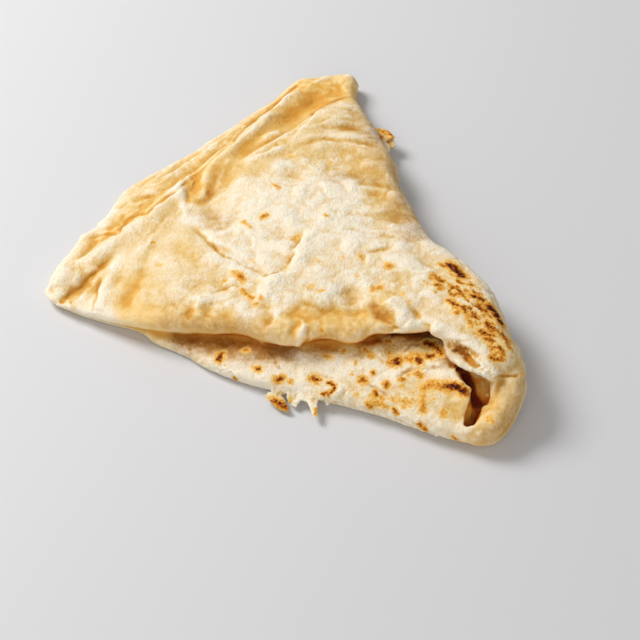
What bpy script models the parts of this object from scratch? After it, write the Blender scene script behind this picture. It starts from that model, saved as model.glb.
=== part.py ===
"""A folded roti: one large flaky flatbread folded to a wedge, lying on its flat underside.

The wedge's long front edge runs along X from the tail (left) to the apex (right), and the
second long side, the outer fold, runs back to the left to the top corner. Between the tail
and the top corner lies the disc's own rim, the arc, where the stacked layers show as ridges.
Points and sizes in the tables are millimetres on the resting plane, and MM turns them to metres.
"""

import math

import bmesh
import bpy
import numpy as np

MM = 0.001
NODE = "roti"
SEED = 11

# Overall form
BOTTOM_DEPTH = 1.0          # how far the sheets are modelled below the plane they are cut at
TRIANGLES = 11400           # what the finished solid is reduced to
VOXEL = 1.15                # size of the even mesh that the joined sheets are turned into

# Plan of the wedge: the front edge from the tail to the apex, the outer fold from the top
# corner to the apex, and the arc between them from the tail to the top corner.
FRONT_EDGE = [
    (-105, -31), (-100, -35.5), (-84, -37), (-63, -35.5), (-54, -38.5), (-40, -39.5),
    (-30, -42), (-14, -43), (2, -41.8), (21, -39), (40, -37.5), (58, -37.5), (70, -37), (76, -36),
]
OUTER_FOLD = [
    (-40.5, 129), (-36.5, 119), (-27, 107.5), (-20, 101), (-2, 83), (3, 73), (12, 63),
    (23, 52), (31, 44), (42, 38), (53.5, 32.5), (64.5, 24.5), (73.5, 13.5), (80, 5.5), (85.5, 0.5),
]
ARC = [
    (-105, -31), (-104.5, -20), (-103.5, -8), (-103.5, 5), (-103.5, 18), (-102.5, 33),
    (-96, 47), (-88.5, 60), (-84, 72), (-80, 83), (-73.5, 98), (-68, 111), (-64, 120),
    (-59, 125.5), (-50, 128.5), (-40.5, 129),
]
ARC_EDGE = 2.2              # radius of the layers' rounded rim along the arc
ARC_TURNS = (87, 70, 50, 25)    # how far the sections past the arc are turned, in degrees
ARC_STEP = 0.02             # share of the arc over which its direction is taken

# The upper layers' front lip, which overhangs the lower flap, from the tail to the apex
LIP = [
    (-109, -32), (-101, -38), (-84, -39), (-68, -39), (-60, -38.2), (-51, -37), (-41, -35),
    (-31, -31.3), (-21, -28.8), (-12, -29.4), (-2, -27.3), (7, -23), (13, -20.4),
    (23, -18), (29, -13.5), (34, -11.6), (40, -10.4), (44.5, -9.2), (48, -7.4), (52, -8.8),
    (57, -9.8), (62, -10.4), (66.5, -11.2), (71, -12.8), (75, -15.8), (79, -17.8), (84, -19),
    (90, -21),
]

# The lip and the flap under it, at these places along X: height where the lip's roll starts,
# of its underside, and of the lower flap where it goes in, then the roll's width, the depth
# of the recess under it, and the radius of the flap's nose.
LIP_FORM = [
    (-109, 5.5, 2.2, 1.6, 2.5, 2, 1.0),
    (-80, 8.5, 2.8, 2.0, 4, 3, 1.0),
    (-60, 11.5, 5.2, 4.6, 5.5, 4, 2.2),
    (-40, 14.5, 6.2, 5.6, 6, 5, 2.6),
    (-20, 17.0, 8.2, 7.4, 6.5, 6, 3.2),
    (0, 18.5, 10.6, 9.6, 6.5, 7, 3.8),
    (20, 21.0, 13.4, 11.8, 6.5, 8, 4.2),
    (40, 24.5, 18.6, 15.2, 6, 11, 4.6),
    (56, 27.0, 22.4, 18.2, 3.6, 11, 5.0),
    (64, 28.0, 24.3, 21.3, 2.2, 7, 5.2),
    (72, 27.0, 23.6, 21.0, 1.9, 4, 5.2),
    (80, 25.4, 22.0, 20.0, 1.8, 3, 5.0),
    (92, 24.0, 20.0, 18.0, 1.8, 3, 5.0),
]
LIP_LEAST = 3.0             # least thickness of the rolled lip
LIP_SETTLE = 9.0            # how far back from the lip the surface eases to the lip's height
LIP_SHARE = 0.5             # how much of the way it goes
FRONT_REACH = 6.0           # how far before the front edge the lip may reach at the tail
FLAP_BULGE = 1.7            # how full the lower flap's curve is between recess and nose
RECESS_DIP = 0.15           # share of the recess's gap by which its roof falls inwards
RECESS_FLARE = 0.45         # share of the gap by which its floor rises inwards

# The outer fold's rolled width at these places along X, as a share of the section at most,
# and the share of its height where it bulges furthest
FOLD_WIDTH_X = [-45, -20, 10, 40, 62, 84]
FOLD_WIDTH = [4, 6.5, 9, 11, 12, 10]
FOLD_MOST = 0.4
FOLD_MIDDLE = 0.42

# Spot heights of the upper surface: (x, y, height)
SPOT_HEIGHTS = {
    "arc edge": [(-105, -15, 4.0), (-104, 5, 4.0), (-103, 32, 4.0), (-92, 53, 4.2),
                 (-80, 83, 4.6), (-69, 110, 5.4), (-60, 125, 6.4), (-44, 129, 8.5)],
    "outer strip": [(-99, 3, 6.8), (-95, 26, 7.2), (-85, 52, 7.0), (-75, 87, 7.0)],
    "rolled ridge": [(-100, -24, 6.8), (-91, -4, 10.4), (-83, 14, 12.0), (-79, 34, 12.2),
                     (-73.5, 54, 11.6), (-68, 78, 10.8), (-62, 106, 9.8)],
    "hollows": [(-74, 38, 10.6), (-56, 100, 9.0), (-52, 116, 9.0)],
    "tail": [(-92, -28, 6.6), (-80, -28, 9.6), (-82, -10, 12), (-72, -20, 12.5)],
    "left swell": [(-74, 4, 14.6), (-62, -4, 16.6), (-60, -24, 14.5), (-68, 14, 14.8)],
    "pinch": [(-70, 24, 13.2), (-60, 40, 15.8)],
    "middle": [(-42, -14, 19.2), (-42, 10, 19.6), (-22, -14, 21.6), (-20, 18, 21.8),
               (-42, 42, 19.4), (-22, 52, 20.4), (0, 4, 23.8), (2, 34, 23), (22, 26, 24.8)],
    "back": [(-47, 70, 16.0), (-38, 92, 15.6), (-36, 106, 13.6), (-22, 90, 15.6),
             (-6, 72, 18.6), (14, 52, 20)],
    "bulk by the apex": [(10, -10, 23.8), (40, 6, 27.2), (44, 24, 26.2), (58, 6, 28.8),
                         (60, -4, 28.6), (72, -2, 27.4), (80, -10, 25.2)],
}
SPOT_EASE = 6.0             # how freely the surface may pass beside its spot heights

# Ridges, and creases with a height less than nothing: path, half width and height
RELIEF_FALL = 1.4           # how steeply a ridge falls away to its sides
RELIEF_ENDS = 0.35          # share of its height that it keeps at its ends
RELIEF_FADE = 0.15          # share of its length over which it fades
RELIEF = {
    "crease by the outer strip": ([(-62, 118), (-70, 91), (-77, 62), (-85, 29), (-91, 8),
                                   (-98, -6), (-104, -24)], 1.9, -1.3),
    "rolled ridge": ([(-104, -31), (-99, -20), (-90, -4), (-82, 16), (-78, 31), (-74, 50)],
                     3.6, 1.3),
    "edge of the strip": ([(-97, 12), (-93, 34), (-84, 55), (-77, 78), (-68, 104)], 2.2, 0.7),
    "tail valley": ([(-98, -38), (-93.5, -28), (-89.5, -17), (-87, -9)], 2.3, -2.6),
    "small tail ridge": ([(-91.5, -37), (-90.5, -28), (-87.5, -18)], 1.7, 1.2),
    "second tail valley": ([(-84.5, -38), (-86, -31), (-85.5, -21)], 1.9, -1.7),
    "edge of the left swell": ([(-80.5, -38), (-82, -30), (-83, -20), (-83, -10)], 2.4, 1.1),
    "soft valley": ([(-79, -19), (-75, -27), (-69, -34)], 3.4, -0.9),
    "thin ridge": ([(-75, 1), (-78.5, -11), (-79, -20)], 1.8, 0.7),
    "yellow valley": ([(-71, -13), (-73, -3), (-72, 7)], 2.4, -0.8),
    "amber hollow": ([(-77, 47), (-76, 38), (-73.5, 28)], 2.3, -3.0),
    "left wall of the hollow": ([(-73, 23), (-78.5, 33), (-80, 43)], 1.6, 1.0),
    "pleat beside the hollow": ([(-71.5, 37), (-73, 50), (-69, 66), (-65, 86), (-61, 100)],
                                2.3, 1.5),
    "second hollow": ([(-70, 28), (-65, 33), (-63, 41), (-66, 50)], 2.6, -1.5),
    "small fold": ([(-62, 70), (-56, 80)], 2.2, 1.3),
    "yellow sheet's dip": ([(-58, 88), (-55, 100), (-50, 114)], 5.0, -1.4),
    "long crease": ([(-70, 18), (-58, 10), (-48.5, 3.8), (-38, 2.5), (-28, -2.5), (-20, -3.5),
                     (-15.5, 0)], 1.3, -1.2),
    "swell below the long crease": ([(-64, 7), (-56, 1), (-46, -2), (-36, -5)], 4.5, 0.8),
    "fold rising from the crease": ([(-15.5, -1), (-15.5, 10), (-19, 20)], 1.8, -1.3),
    "edge of that fold": ([(-24, -8), (-14, -6), (-11, 2), (-11.5, 11), (-15, 20)], 2.8, 0.9),
    "shaded hollow": ([(-63, 26), (-58, 19), (-53, 12)], 3.6, -1.5),
    "step by the top corner": ([(-44, 77), (-37, 80), (-29, 84), (-21, 86), (-13, 85)],
                               2.4, 1.2),
    "line behind the step": ([(-42, 84), (-34, 89), (-24, 92), (-15, 92)], 2.2, -0.8),
    "lip bulge": ([(-46, -30), (-43, -24), (-38, -20), (-30, -19)], 2.6, 0.9),
    "hollow before the bulge": ([(-51, -31), (-49, -22), (-42, -15), (-31, -14)], 2.6, -0.6),
    "notch above the lip": ([(11, 2), (16, -3), (20, -8), (25, -12)], 4.4, -3.2),
    "puff beside the notch": ([(27, -2), (31, -6), (33, -9)], 4.6, 1.4),
    "puff before the notch": ([(2, -12), (8, -15), (14, -17)], 5.0, 0.9),
    "second notch": ([(44, 6), (43, 0), (41, -5)], 2.2, -1.5),
    "crease by the apex": ([(58, -4), (66, -5), (74, -7)], 1.9, -1.1),
    "crease at the rim": ([(77, -14), (83.5, -12.5), (88, -7)], 1.6, -2.0),
    "back dents": ([(-4, 62), (4, 50), (8, 38)], 5.0, -0.9),
}

# Small steps between layers, lower on the arc's side: path, rise, width and reach
STEPS = {
    "rolled ridge over the strip": ([(-62, 118), (-70, 91), (-77, 62), (-85, 29), (-91, 8),
                                     (-98, -6), (-104, -24)], 2.6, 2.4, 8),
    "upper layers over the yellow sheet": ([(-36, 115), (-45, 102), (-48.5, 90), (-52, 77),
                                            (-58, 66), (-63, 52)], 4.2, 2.4, 14),
}

# Bubbles in the dough: count, smallest and largest radius, height
LUMPS = (34, 8.0, 14.0, 0.7)
PUFFS = (260, 2.8, 6.2, 1.25)
FLAP_PUFFS = (100, 2.6, 5.5, 1.0)
PUFF_LEAST = 0.35           # lowest puff as a share of the height
PUFF_SIGNS = (1, 1, -0.7)   # of three puffs one is a dent
PUFF_FALL = 1.4             # how steeply a puff falls away
PUFF_CROWN = 1.5            # how flat its crown is
SMOOTH_SIDE_PUFFS = 0.35    # share of the puffs' height on the smooth side by the arc
SMOOTH_SIDE_X = -62         # where the smooth side ends
SMOOTH_SIDE_BLEND = 30      # width over which it turns puffy

# Apex: the thick rolled rim round the mouth, with a radius at each point, and its lower wall
RIM = [
    (52, -33.4, 4.6, 4.4), (62, -33.4, 5.0, 4.8), (70.5, -32.6, 5.4, 5.0),
    (78, -31.6, 6.6, 5.6), (83.4, -28.0, 8.4, 5.4), (85.2, -21.5, 10.6, 5.1),
    (85.0, -14.5, 14.8, 5.4), (83.2, -8.5, 15.6, 6.2), (78.5, -3, 15, 7.6), (71, 3, 14, 7.5),
]
RIM_WALL = [
    (77, -31.6, 3.0, 4.6), (82.8, -28.6, 3.4, 5.0), (85.0, -21.5, 4.4, 4.9),
    (84.8, -14.0, 6.0, 5.4), (82.5, -7.0, 7.4, 7.0), (75, -1, 8.0, 7.8),
]
# The mouth: ellipses from its floor to above the surface: x, y, height, half sizes and turn
MOUTH = [
    (76.2, -29.8, 4.2, 0.8, 3.4, 0), (76, -30.4, 7.5, 1.4, 5.2, 0), (76, -28.2, 11, 2.6, 6.2, 6),
    (77, -24, 15, 3.4, 6.4, 10), (76.4, -20.8, 19, 4.6, 4.8, 20), (75.8, -20.8, 22.2, 5.2, 3.9, 20),
    (74.6, -22.6, 25, 6.4, 4.2, 14), (73, -25, 31, 9, 5, 0),
]
# The dark slot that runs on from the mouth under the inner flap: x, y, height and radius
SLOT_HOLLOW = [
    (57, -9.5, 20, 1.6), (61, -13, 20, 1.9), (65.5, -15.6, 19.4, 2.6), (70, -17.2, 17.6, 3.6),
    (74.5, -19.2, 15, 4.2), (77.2, -23.5, 11, 3.2),
]
INNER_FLAP = [(56, -9), (59.5, -13.4), (64, -16.4), (69, -17.8), (74, -18), (80, -17.6), (81, -11),
              (66, -4)]
INNER_FLAP_HEIGHT = 21.4
INNER_FLAP_THICKNESS = 2.4

# Torn flakes at the edges: centre, length, width, thickness, turn about Z and tilt in degrees
FLAKE_TAPER = 0.5           # how much narrower a flake is at its ends
FLAKE_BEND = 0.25           # how far its ends curl up, as a share of its length
FLAKES = {
    "brown flake": ((3.6, -44.4, 2.4), 11.0, 3.8, 1.7, -10, 10),
    "pale tear": ((12.5, -40.8, 3.4), 10.0, 6.0, 2.2, 6, -10),
    "second pale tear": ((18.5, -39.0, 5.2), 8.0, 5.0, 2.4, 20, -12),
    "hanging tip": ((15.8, -42.4, 2.6), 7.0, 2.4, 1.7, -50, 6),
    "flake by the outer fold": ((-16.2, 102.2, 6.8), 11.0, 3.6, 1.8, -16, 4),
    "torn edge by the outer fold": ((-13.5, 96.0, 6.0), 11.0, 6.5, 2.0, -40, 6),
}

# Fineness of the loft: sections between the arc and the apex, and points round each
SECTIONS = 118
POINTS_BOTTOM = 30
POINTS_FOLD = 13
POINTS_TOP = 84
POINTS_ROLL = 13
POINTS_RECESS = 7
POINTS_FLAP = 18
POINTS_NOSE = 7
LIP_TRIES = 500             # places along a section where the lip is looked for
ELLIPSE_POINTS = 24
ROLL_RESOLUTION = 4
PATH_STEPS = 5              # points between two stations of a path
MERGE = 1e-6                # corners nearer than this are one

DOUGH_COLOUR = (0.83, 0.66, 0.41, 1.0)
DOUGH_ROUGHNESS = 0.62


def smooth_path(points, steps=12):
    """Points on the smooth curve through the given points."""
    known = np.array(points, float)
    ends = np.vstack([2 * known[0] - known[1], known, 2 * known[-1] - known[-2]])
    share = np.linspace(0, 1, steps, endpoint=False)[:, None]
    parts = []
    for before, start, end, after in zip(ends, ends[1:], ends[2:], ends[3:], strict=False):
        bend = (2 * before - 5 * start + 4 * end - after) * share**2
        turn = (3 * (start - end) + after - before) * share**3
        parts.append(start + 0.5 * ((end - before) * share + bend + turn))
    return np.vstack(parts + [known[-1:]])


def place_along(path, shares):
    """Positions at the given shares of a path's length."""
    steps = np.linalg.norm(np.diff(path, axis=0), axis=1)
    length = np.concatenate([[0], np.cumsum(steps)])
    wanted = np.asarray(shares) * length[-1]
    return np.stack([np.interp(wanted, length, path[:, axis]) for axis in range(path.shape[1])], -1)


def path_offset(x, y, path):
    """Distance from a path, positive on its left, and the share of its length at the nearest point."""
    best = np.full(x.shape, 1e9)
    side = np.zeros(x.shape)
    share = np.zeros(x.shape)
    last = len(path) - 1
    for index, (start, end) in enumerate(zip(path, path[1:], strict=False)):
        run = end - start
        along = ((x - start[0]) * run[0] + (y - start[1]) * run[1]) / (run @ run)
        along = np.clip(along, 0, 1)
        gap_x = x - start[0] - along * run[0]
        gap_y = y - start[1] - along * run[1]
        gap = np.hypot(gap_x, gap_y)
        nearer = gap < best
        best = np.where(nearer, gap, best)
        side = np.where(nearer, np.sign(run[0] * gap_y - run[1] * gap_x), side)
        share = np.where(nearer, (index + along) / last, share)
    return best * side, share


def ease(value):
    """0 to 1 with a level start and end."""
    value = np.clip(value, 0, 1)
    return value * value * (3 - 2 * value)


def surface_through(spots):
    """A smooth height function through the spot heights, as a thin bent plate takes."""
    known = np.array([spot for group in spots.values() for spot in group], float)
    count = len(known)

    def plate(distance):
        return distance**2 * np.log(distance + 1e-9)

    gaps = np.hypot(known[:, 0][:, None] - known[:, 0], known[:, 1][:, None] - known[:, 1])
    flat = np.column_stack([np.ones(count), known[:, 0], known[:, 1]])
    bending = plate(gaps) + SPOT_EASE * np.eye(count)
    matrix = np.block([[bending, flat], [flat.T, np.zeros((3, 3))]])
    weights = np.linalg.solve(matrix, np.concatenate([known[:, 2], np.zeros(3)]))

    def height(x, y):
        total = weights[count] + weights[count + 1] * x + weights[count + 2] * y
        for (spot_x, spot_y, _), weight in zip(known, weights, strict=False):
            total = total + weight * plate(np.hypot(x - spot_x, y - spot_y))
        return total

    return height


def scatter(puffs, corner, size, draw):
    """Seeded puffs: rows of x, y, radius, height."""
    count, smallest, largest, height = puffs
    rows = []
    for _ in range(count):
        radius = draw.uniform(smallest, largest)
        rise = height * draw.uniform(PUFF_LEAST, 1.0) * draw.choice(PUFF_SIGNS)
        x = corner[0] + size[0] * draw.random()
        y = corner[1] + size[1] * draw.random()
        rows.append((x, y, radius, rise))
    return rows


def puff_height(x, y, puffs):
    """What the puffs add at each point."""
    total = np.zeros(x.shape)
    for puff_x, puff_y, radius, rise in puffs:
        gap = ((x - puff_x) ** 2 + (y - puff_y) ** 2) / radius**2
        total += rise * np.exp(-PUFF_FALL * gap**PUFF_CROWN)
    return total


BASE_HEIGHT = surface_through(SPOT_HEIGHTS)
DRAW = np.random.default_rng(SEED)
TOP_LUMPS = scatter(LUMPS, (-60, -40), (150, 150), DRAW)
TOP_PUFFS = scatter(PUFFS, (-105, -40), (195, 165), DRAW)
LOW_PUFFS = scatter(FLAP_PUFFS, (-60, -44), (140, 38), DRAW)
RELIEF_PATHS = [(smooth_path(path, PATH_STEPS), *form) for path, *form in RELIEF.values()]
STEP_PATHS = [(smooth_path(path, PATH_STEPS), *form) for path, *form in STEPS.values()]


def top_height(x, y):
    """Height of the upper layers' surface, with its ridges, creases and puffs."""
    total = BASE_HEIGHT(x, y)
    for path, width, rise in RELIEF_PATHS:
        offset, share = path_offset(x, y, path)
        inside = ease(share / RELIEF_FADE) * ease((1 - share) / RELIEF_FADE)
        fade = RELIEF_ENDS + (1 - RELIEF_ENDS) * inside
        total += rise * fade * np.exp(-RELIEF_FALL * (offset / width) ** 2)
    for path, rise, width, reach in STEP_PATHS:
        offset, share = path_offset(x, y, path)
        inside = ease(share / RELIEF_FADE) * ease((1 - share) / RELIEF_FADE)
        near = inside * np.exp(-((offset / reach) ** 2))
        total += rise * near * (ease(offset / width + 0.5) - 0.5)
    turned_puffy = ease((x - SMOOTH_SIDE_X) / SMOOTH_SIDE_BLEND)
    puffy = SMOOTH_SIDE_PUFFS + (1 - SMOOTH_SIDE_PUFFS) * turned_puffy
    return total + puffy * puff_height(x, y, TOP_PUFFS) + puff_height(x, y, TOP_LUMPS)


def section(share, turned=0.0):
    """One closed section of the wedge, from the nose of its lower flap round to the nose again.

    Past the arc the section is turned down, in degrees, over the layers' rounded rim.
    """
    front = place_along(FRONT_PATH, [share])[0]
    back = place_along(FOLD_PATH, [share])[0]
    chord = back - front
    length = np.linalg.norm(chord)
    squash = math.cos(math.radians(turned))
    overhang = ARC_EDGE * math.sin(math.radians(turned))

    def plan(distance):
        part = distance / length
        on_arc = np.clip(part, 0, 1)
        bow = place_along(ARC_PATH, on_arc) - place_along(ARC_CHORD, on_arc)
        run = place_along(ARC_PATH, on_arc + ARC_STEP) - place_along(ARC_PATH, on_arc - ARC_STEP)
        outward = np.column_stack([-run[:, 1], run[:, 0]]) / np.linalg.norm(run, axis=1)[:, None]
        place = front + part[:, None] * chord + (1 - share) * bow + overhang * outward
        return place[:, 0], place[:, 1]

    tries = np.linspace(-FRONT_REACH, length, LIP_TRIES)
    try_x, try_y = plan(tries)
    lip_y = np.interp(try_x, LIP_PATH[:, 0], LIP_PATH[:, 1])
    lip = tries[np.argmax(try_y > lip_y)]
    lip_x = plan(np.array([lip]))[0][0]
    form = [float(np.interp(lip_x, LIP_TABLE[:, 0], column)) for column in LIP_TABLE.T[1:]]
    crest, under, flap_top, roll, recess, nose = form
    fold = min(float(np.interp(back[0], FOLD_WIDTH_X, FOLD_WIDTH)), FOLD_MOST * length)
    reach = min(lip + roll + recess, length - fold)
    rows = []

    def add(distance, height):
        x, y = plan(np.asarray(distance, float))
        rows.append(np.stack([x, y, np.broadcast_to(height, x.shape)], -1))

    # underside, from front to back
    distance = np.linspace(nose, length - fold, POINTS_BOTTOM, endpoint=False)
    add(distance, np.full(POINTS_BOTTOM, -BOTTOM_DEPTH))
    # outer fold, from the plane up to the top
    angle = np.linspace(-math.pi / 2, math.pi / 2, POINTS_FOLD, endpoint=False)
    distance = length - fold + fold * np.cos(angle)
    x, y = plan(np.full(1, length - fold))
    crown = float(top_height(x, y)[0])
    middle = FOLD_MIDDLE * crown
    height = middle + np.where(angle < 0, middle + BOTTOM_DEPTH, crown - middle) * np.sin(angle)
    add(distance, height)
    # upper surface, from the fold to the lip
    distance = np.linspace(length - fold, lip + roll, POINTS_TOP, endpoint=False)
    x, y = plan(distance)
    height = top_height(x, y)
    own = float(top_height(*plan(np.full(1, lip + roll)))[0])
    settle = np.exp(-(((distance - lip - roll) / LIP_SETTLE) ** 2))
    add(distance, height + LIP_SHARE * (crest - own) * settle)
    crest = own + LIP_SHARE * (crest - own)
    # rolled lip, over and down to its underside
    under = min(under, crest - LIP_LEAST)
    angle = np.linspace(math.pi / 2, -math.pi / 2, POINTS_ROLL, endpoint=False)
    distance = lip + roll - roll * np.cos(angle)
    add(distance, 0.5 * (crest + under) + 0.5 * (crest - under) * np.sin(angle))
    # underside of the lip, back into the recess, and out again over the lower flap
    gap = max(under - flap_top, 0.5)
    flap_at_reach = min(flap_top, under - gap)
    steps = np.linspace(0, 1, POINTS_RECESS)
    add(lip + roll + (reach - lip - roll) * steps, under - RECESS_DIP * gap * steps)
    steps = np.linspace(1, 0, POINTS_RECESS)
    flare = RECESS_FLARE * gap * steps**2
    add(lip + roll + (reach - lip - roll) * steps, flap_at_reach + flare)
    # lower flap, down to the nose
    run = max(lip + roll - nose, 0.5)
    steps = np.linspace(1, 0, POINTS_FLAP, endpoint=False)[1:]
    distance = nose + run * steps
    level = 2 * nose + (flap_at_reach - 2 * nose) * (1 - (1 - steps) ** FLAP_BULGE)
    x, y = plan(distance)
    add(distance, level + puff_height(x, y, LOW_PUFFS) * np.sin(math.pi * steps))
    # nose
    angle = np.linspace(math.pi / 2, 1.5 * math.pi, POINTS_NOSE, endpoint=False)
    drop = nose + BOTTOM_DEPTH * (angle > math.pi)
    add(nose + nose * np.cos(angle), nose + drop * np.sin(angle))
    ring = np.vstack(rows)
    ring[:, 2] = ARC_EDGE + (ring[:, 2] - ARC_EDGE) * squash
    return ring


FRONT_PATH = smooth_path(FRONT_EDGE)
FOLD_PATH = smooth_path(OUTER_FOLD)
ARC_PATH = smooth_path(ARC)
ARC_CHORD = np.array([ARC[0], ARC[-1]], float)
LIP_PATH = smooth_path(LIP)
LIP_TABLE = np.array(LIP_FORM, float)


def new_object(name, mesh, collection):
    """An object for a mesh, in a collection."""
    thing = bpy.data.objects.new(name, mesh)
    collection.objects.link(thing)
    return thing


def wedge(collection):
    """The folded layers as a loft of unlike sections from the arc to the apex."""
    rings = [section(0.0, turned) for turned in ARC_TURNS]
    rings += [section(share) for share in np.linspace(0, 1, SECTIONS)]
    count = len(rings[0])
    shape = bmesh.new()
    corners = [[shape.verts.new(point * MM) for point in ring] for ring in rings]
    for ring, following in zip(corners, corners[1:], strict=False):
        for index in range(count):
            after = (index + 1) % count
            shape.faces.new((ring[index], ring[after], following[after], following[index]))
    ends = [shape.faces.new(corners[0][::-1]), shape.faces.new(corners[-1])]
    bmesh.ops.triangulate(shape, faces=ends, ngon_method="EAR_CLIP")
    bmesh.ops.recalc_face_normals(shape, faces=shape.faces)
    mesh = bpy.data.meshes.new("wedge")
    shape.to_mesh(mesh)
    shape.free()
    return new_object("wedge", mesh, collection)


def rolled(name, stations, collection):
    """A round roll of dough along a path, its radius given at each station."""
    route = smooth_path([station[:3] for station in stations], PATH_STEPS)
    shares = np.linspace(0, 1, len(route))
    known = np.linspace(0, 1, len(stations))
    radii = np.interp(shares, known, [station[3] for station in stations])
    curve = bpy.data.curves.new(name, "CURVE")
    curve.dimensions = "3D"
    curve.bevel_depth = MM
    curve.bevel_resolution = ROLL_RESOLUTION
    curve.use_fill_caps = True
    spline = curve.splines.new("POLY")
    spline.points.add(len(route) - 1)
    for point, place, radius in zip(spline.points, route, radii, strict=False):
        point.co = (*(place * MM), 1.0)
        point.radius = radius
    guide = new_object(name, curve, collection)
    bpy.context.view_layer.update()
    mesh = bpy.data.meshes.new_from_object(guide.evaluated_get(bpy.context.evaluated_depsgraph_get()))
    bpy.data.objects.remove(guide)
    shape = bmesh.new()
    shape.from_mesh(mesh)
    bmesh.ops.remove_doubles(shape, verts=shape.verts, dist=MERGE)
    bmesh.ops.recalc_face_normals(shape, faces=shape.faces)
    shape.to_mesh(mesh)
    shape.free()
    return new_object(name, mesh, collection)


def stacked(name, rings, collection):
    """A closed solid lofted through level ellipses."""
    shape = bmesh.new()
    corners = []
    for x, y, height, half_width, half_length, turn in rings:
        cosine, sine = math.cos(math.radians(turn)), math.sin(math.radians(turn))
        ring = []
        for angle in np.linspace(0, 2 * math.pi, ELLIPSE_POINTS, endpoint=False):
            across, along = half_width * math.cos(angle), half_length * math.sin(angle)
            place = (x + across * cosine - along * sine, y + across * sine + along * cosine, height)
            ring.append(shape.verts.new([part * MM for part in place]))
        corners.append(ring)
    for ring, following in zip(corners, corners[1:], strict=False):
        for index in range(ELLIPSE_POINTS):
            after = (index + 1) % ELLIPSE_POINTS
            shape.faces.new((ring[index], ring[after], following[after], following[index]))
    shape.faces.new(corners[0][::-1])
    shape.faces.new(corners[-1])
    bmesh.ops.recalc_face_normals(shape, faces=shape.faces)
    mesh = bpy.data.meshes.new(name)
    shape.to_mesh(mesh)
    shape.free()
    return new_object(name, mesh, collection)


def flat_sheet(name, outline, height, thickness, collection):
    """A thin sheet with a smooth outline."""
    curve = bpy.data.curves.new(name, "CURVE")
    curve.dimensions = "2D"
    curve.fill_mode = "BOTH"
    curve.extrude = thickness * MM / 2
    curve.resolution_u = PATH_STEPS
    spline = curve.splines.new("BEZIER")
    spline.bezier_points.add(len(outline) - 1)
    spline.use_cyclic_u = True
    for point, (x, y) in zip(spline.bezier_points, outline, strict=False):
        point.co = (x * MM, y * MM, 0)
        point.handle_left_type = "AUTO"
        point.handle_right_type = "AUTO"
    guide = new_object(name, curve, collection)
    guide.location.z = height * MM
    bpy.context.view_layer.update()
    mesh = bpy.data.meshes.new_from_object(guide.evaluated_get(bpy.context.evaluated_depsgraph_get()))
    mesh.transform(guide.matrix_world)
    bpy.data.objects.remove(guide)
    shape = bmesh.new()
    shape.from_mesh(mesh)
    bmesh.ops.remove_doubles(shape, verts=shape.verts, dist=MERGE)
    bmesh.ops.recalc_face_normals(shape, faces=shape.faces)
    shape.to_mesh(mesh)
    shape.free()
    return new_object(name, mesh, collection)


def flake(name, centre, length, width, thickness, turn, tilt, collection):
    """A torn flake of crust: a thin bent lens, pointed at both ends."""
    bpy.ops.mesh.primitive_uv_sphere_add(segments=10, ring_count=6, radius=0.5)
    scrap = bpy.context.object
    scrap.name = name
    for owner in list(scrap.users_collection):
        owner.objects.unlink(scrap)
    collection.objects.link(scrap)
    for corner in scrap.data.vertices:
        x, y, z = corner.co
        narrowed = width * (1 - FLAKE_TAPER * abs(x))
        curl = FLAKE_BEND * length * x * x
        corner.co = (x * length * MM, y * narrowed * MM, (z * thickness + curl) * MM)
    scrap.location = [part * MM for part in centre]
    scrap.rotation_euler = (math.radians(tilt), 0, math.radians(turn))
    return scrap


def finish(thing, modifiers):
    """Apply the given modifiers, each a type with its settings, one after the other."""
    for kind, settings in modifiers:
        modifier = thing.modifiers.new(kind.title(), kind)
        for name, value in settings.items():
            setattr(modifier, name, value)
        bpy.context.view_layer.update()
        ready = thing.evaluated_get(bpy.context.evaluated_depsgraph_get())
        mesh = bpy.data.meshes.new_from_object(ready)
        thing.modifiers.clear()
        thing.data = mesh


def clear_collection(collection):
    """Remove a collection and all its objects."""
    for thing in list(collection.objects):
        bpy.data.objects.remove(thing)
    bpy.data.collections.remove(collection)


def drop_scraps(thing):
    """Keep the largest connected body, and drop loose scraps."""
    shape = bmesh.new()
    shape.from_mesh(thing.data)
    left = set(shape.verts)
    bodies = []
    while left:
        body = set()
        edge = [next(iter(left))]
        while edge:
            corner = edge.pop()
            if corner not in body:
                body.add(corner)
                edge += [line.other_vert(corner) for line in corner.link_edges]
        left -= body
        bodies.append(body)
    bodies.sort(key=len)
    scraps = [corner for body in bodies[:-1] for corner in body]
    bmesh.ops.delete(shape, geom=scraps, context="VERTS")
    shape.to_mesh(thing.data)
    shape.free()


def cut_flat_base(thing):
    """Cut the solid level at the resting plane and close it there."""
    shape = bmesh.new()
    shape.from_mesh(thing.data)
    everything = shape.verts[:] + shape.edges[:] + shape.faces[:]
    cut = bmesh.ops.bisect_plane(shape, geom=everything, plane_co=(0, 0, 0), plane_no=(0, 0, -1),
                                 clear_outer=True, dist=MERGE)
    rim = [part for part in cut["geom_cut"] if isinstance(part, bmesh.types.BMEdge)]
    bmesh.ops.contextual_create(shape, geom=rim)
    bmesh.ops.triangulate(shape, faces=shape.faces)
    bmesh.ops.recalc_face_normals(shape, faces=shape.faces)
    shape.to_mesh(thing.data)
    shape.free()


def stand_over_origin(thing):
    """Move the mesh so that its box is centred over the origin."""
    corners = np.array([corner.co for corner in thing.data.vertices])
    middle = 0.5 * (corners.min(0) + corners.max(0))
    for corner in thing.data.vertices:
        corner.co.x -= middle[0]
        corner.co.y -= middle[1]


def dough_material():
    """Pale baked dough."""
    material = bpy.data.materials.new("baked dough")
    material.use_nodes = True
    shader = material.node_tree.nodes["Principled BSDF"]
    shader.inputs["Base Color"].default_value = DOUGH_COLOUR
    shader.inputs["Roughness"].default_value = DOUGH_ROUGHNESS
    shader.inputs["Metallic"].default_value = 0.0
    return material


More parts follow.
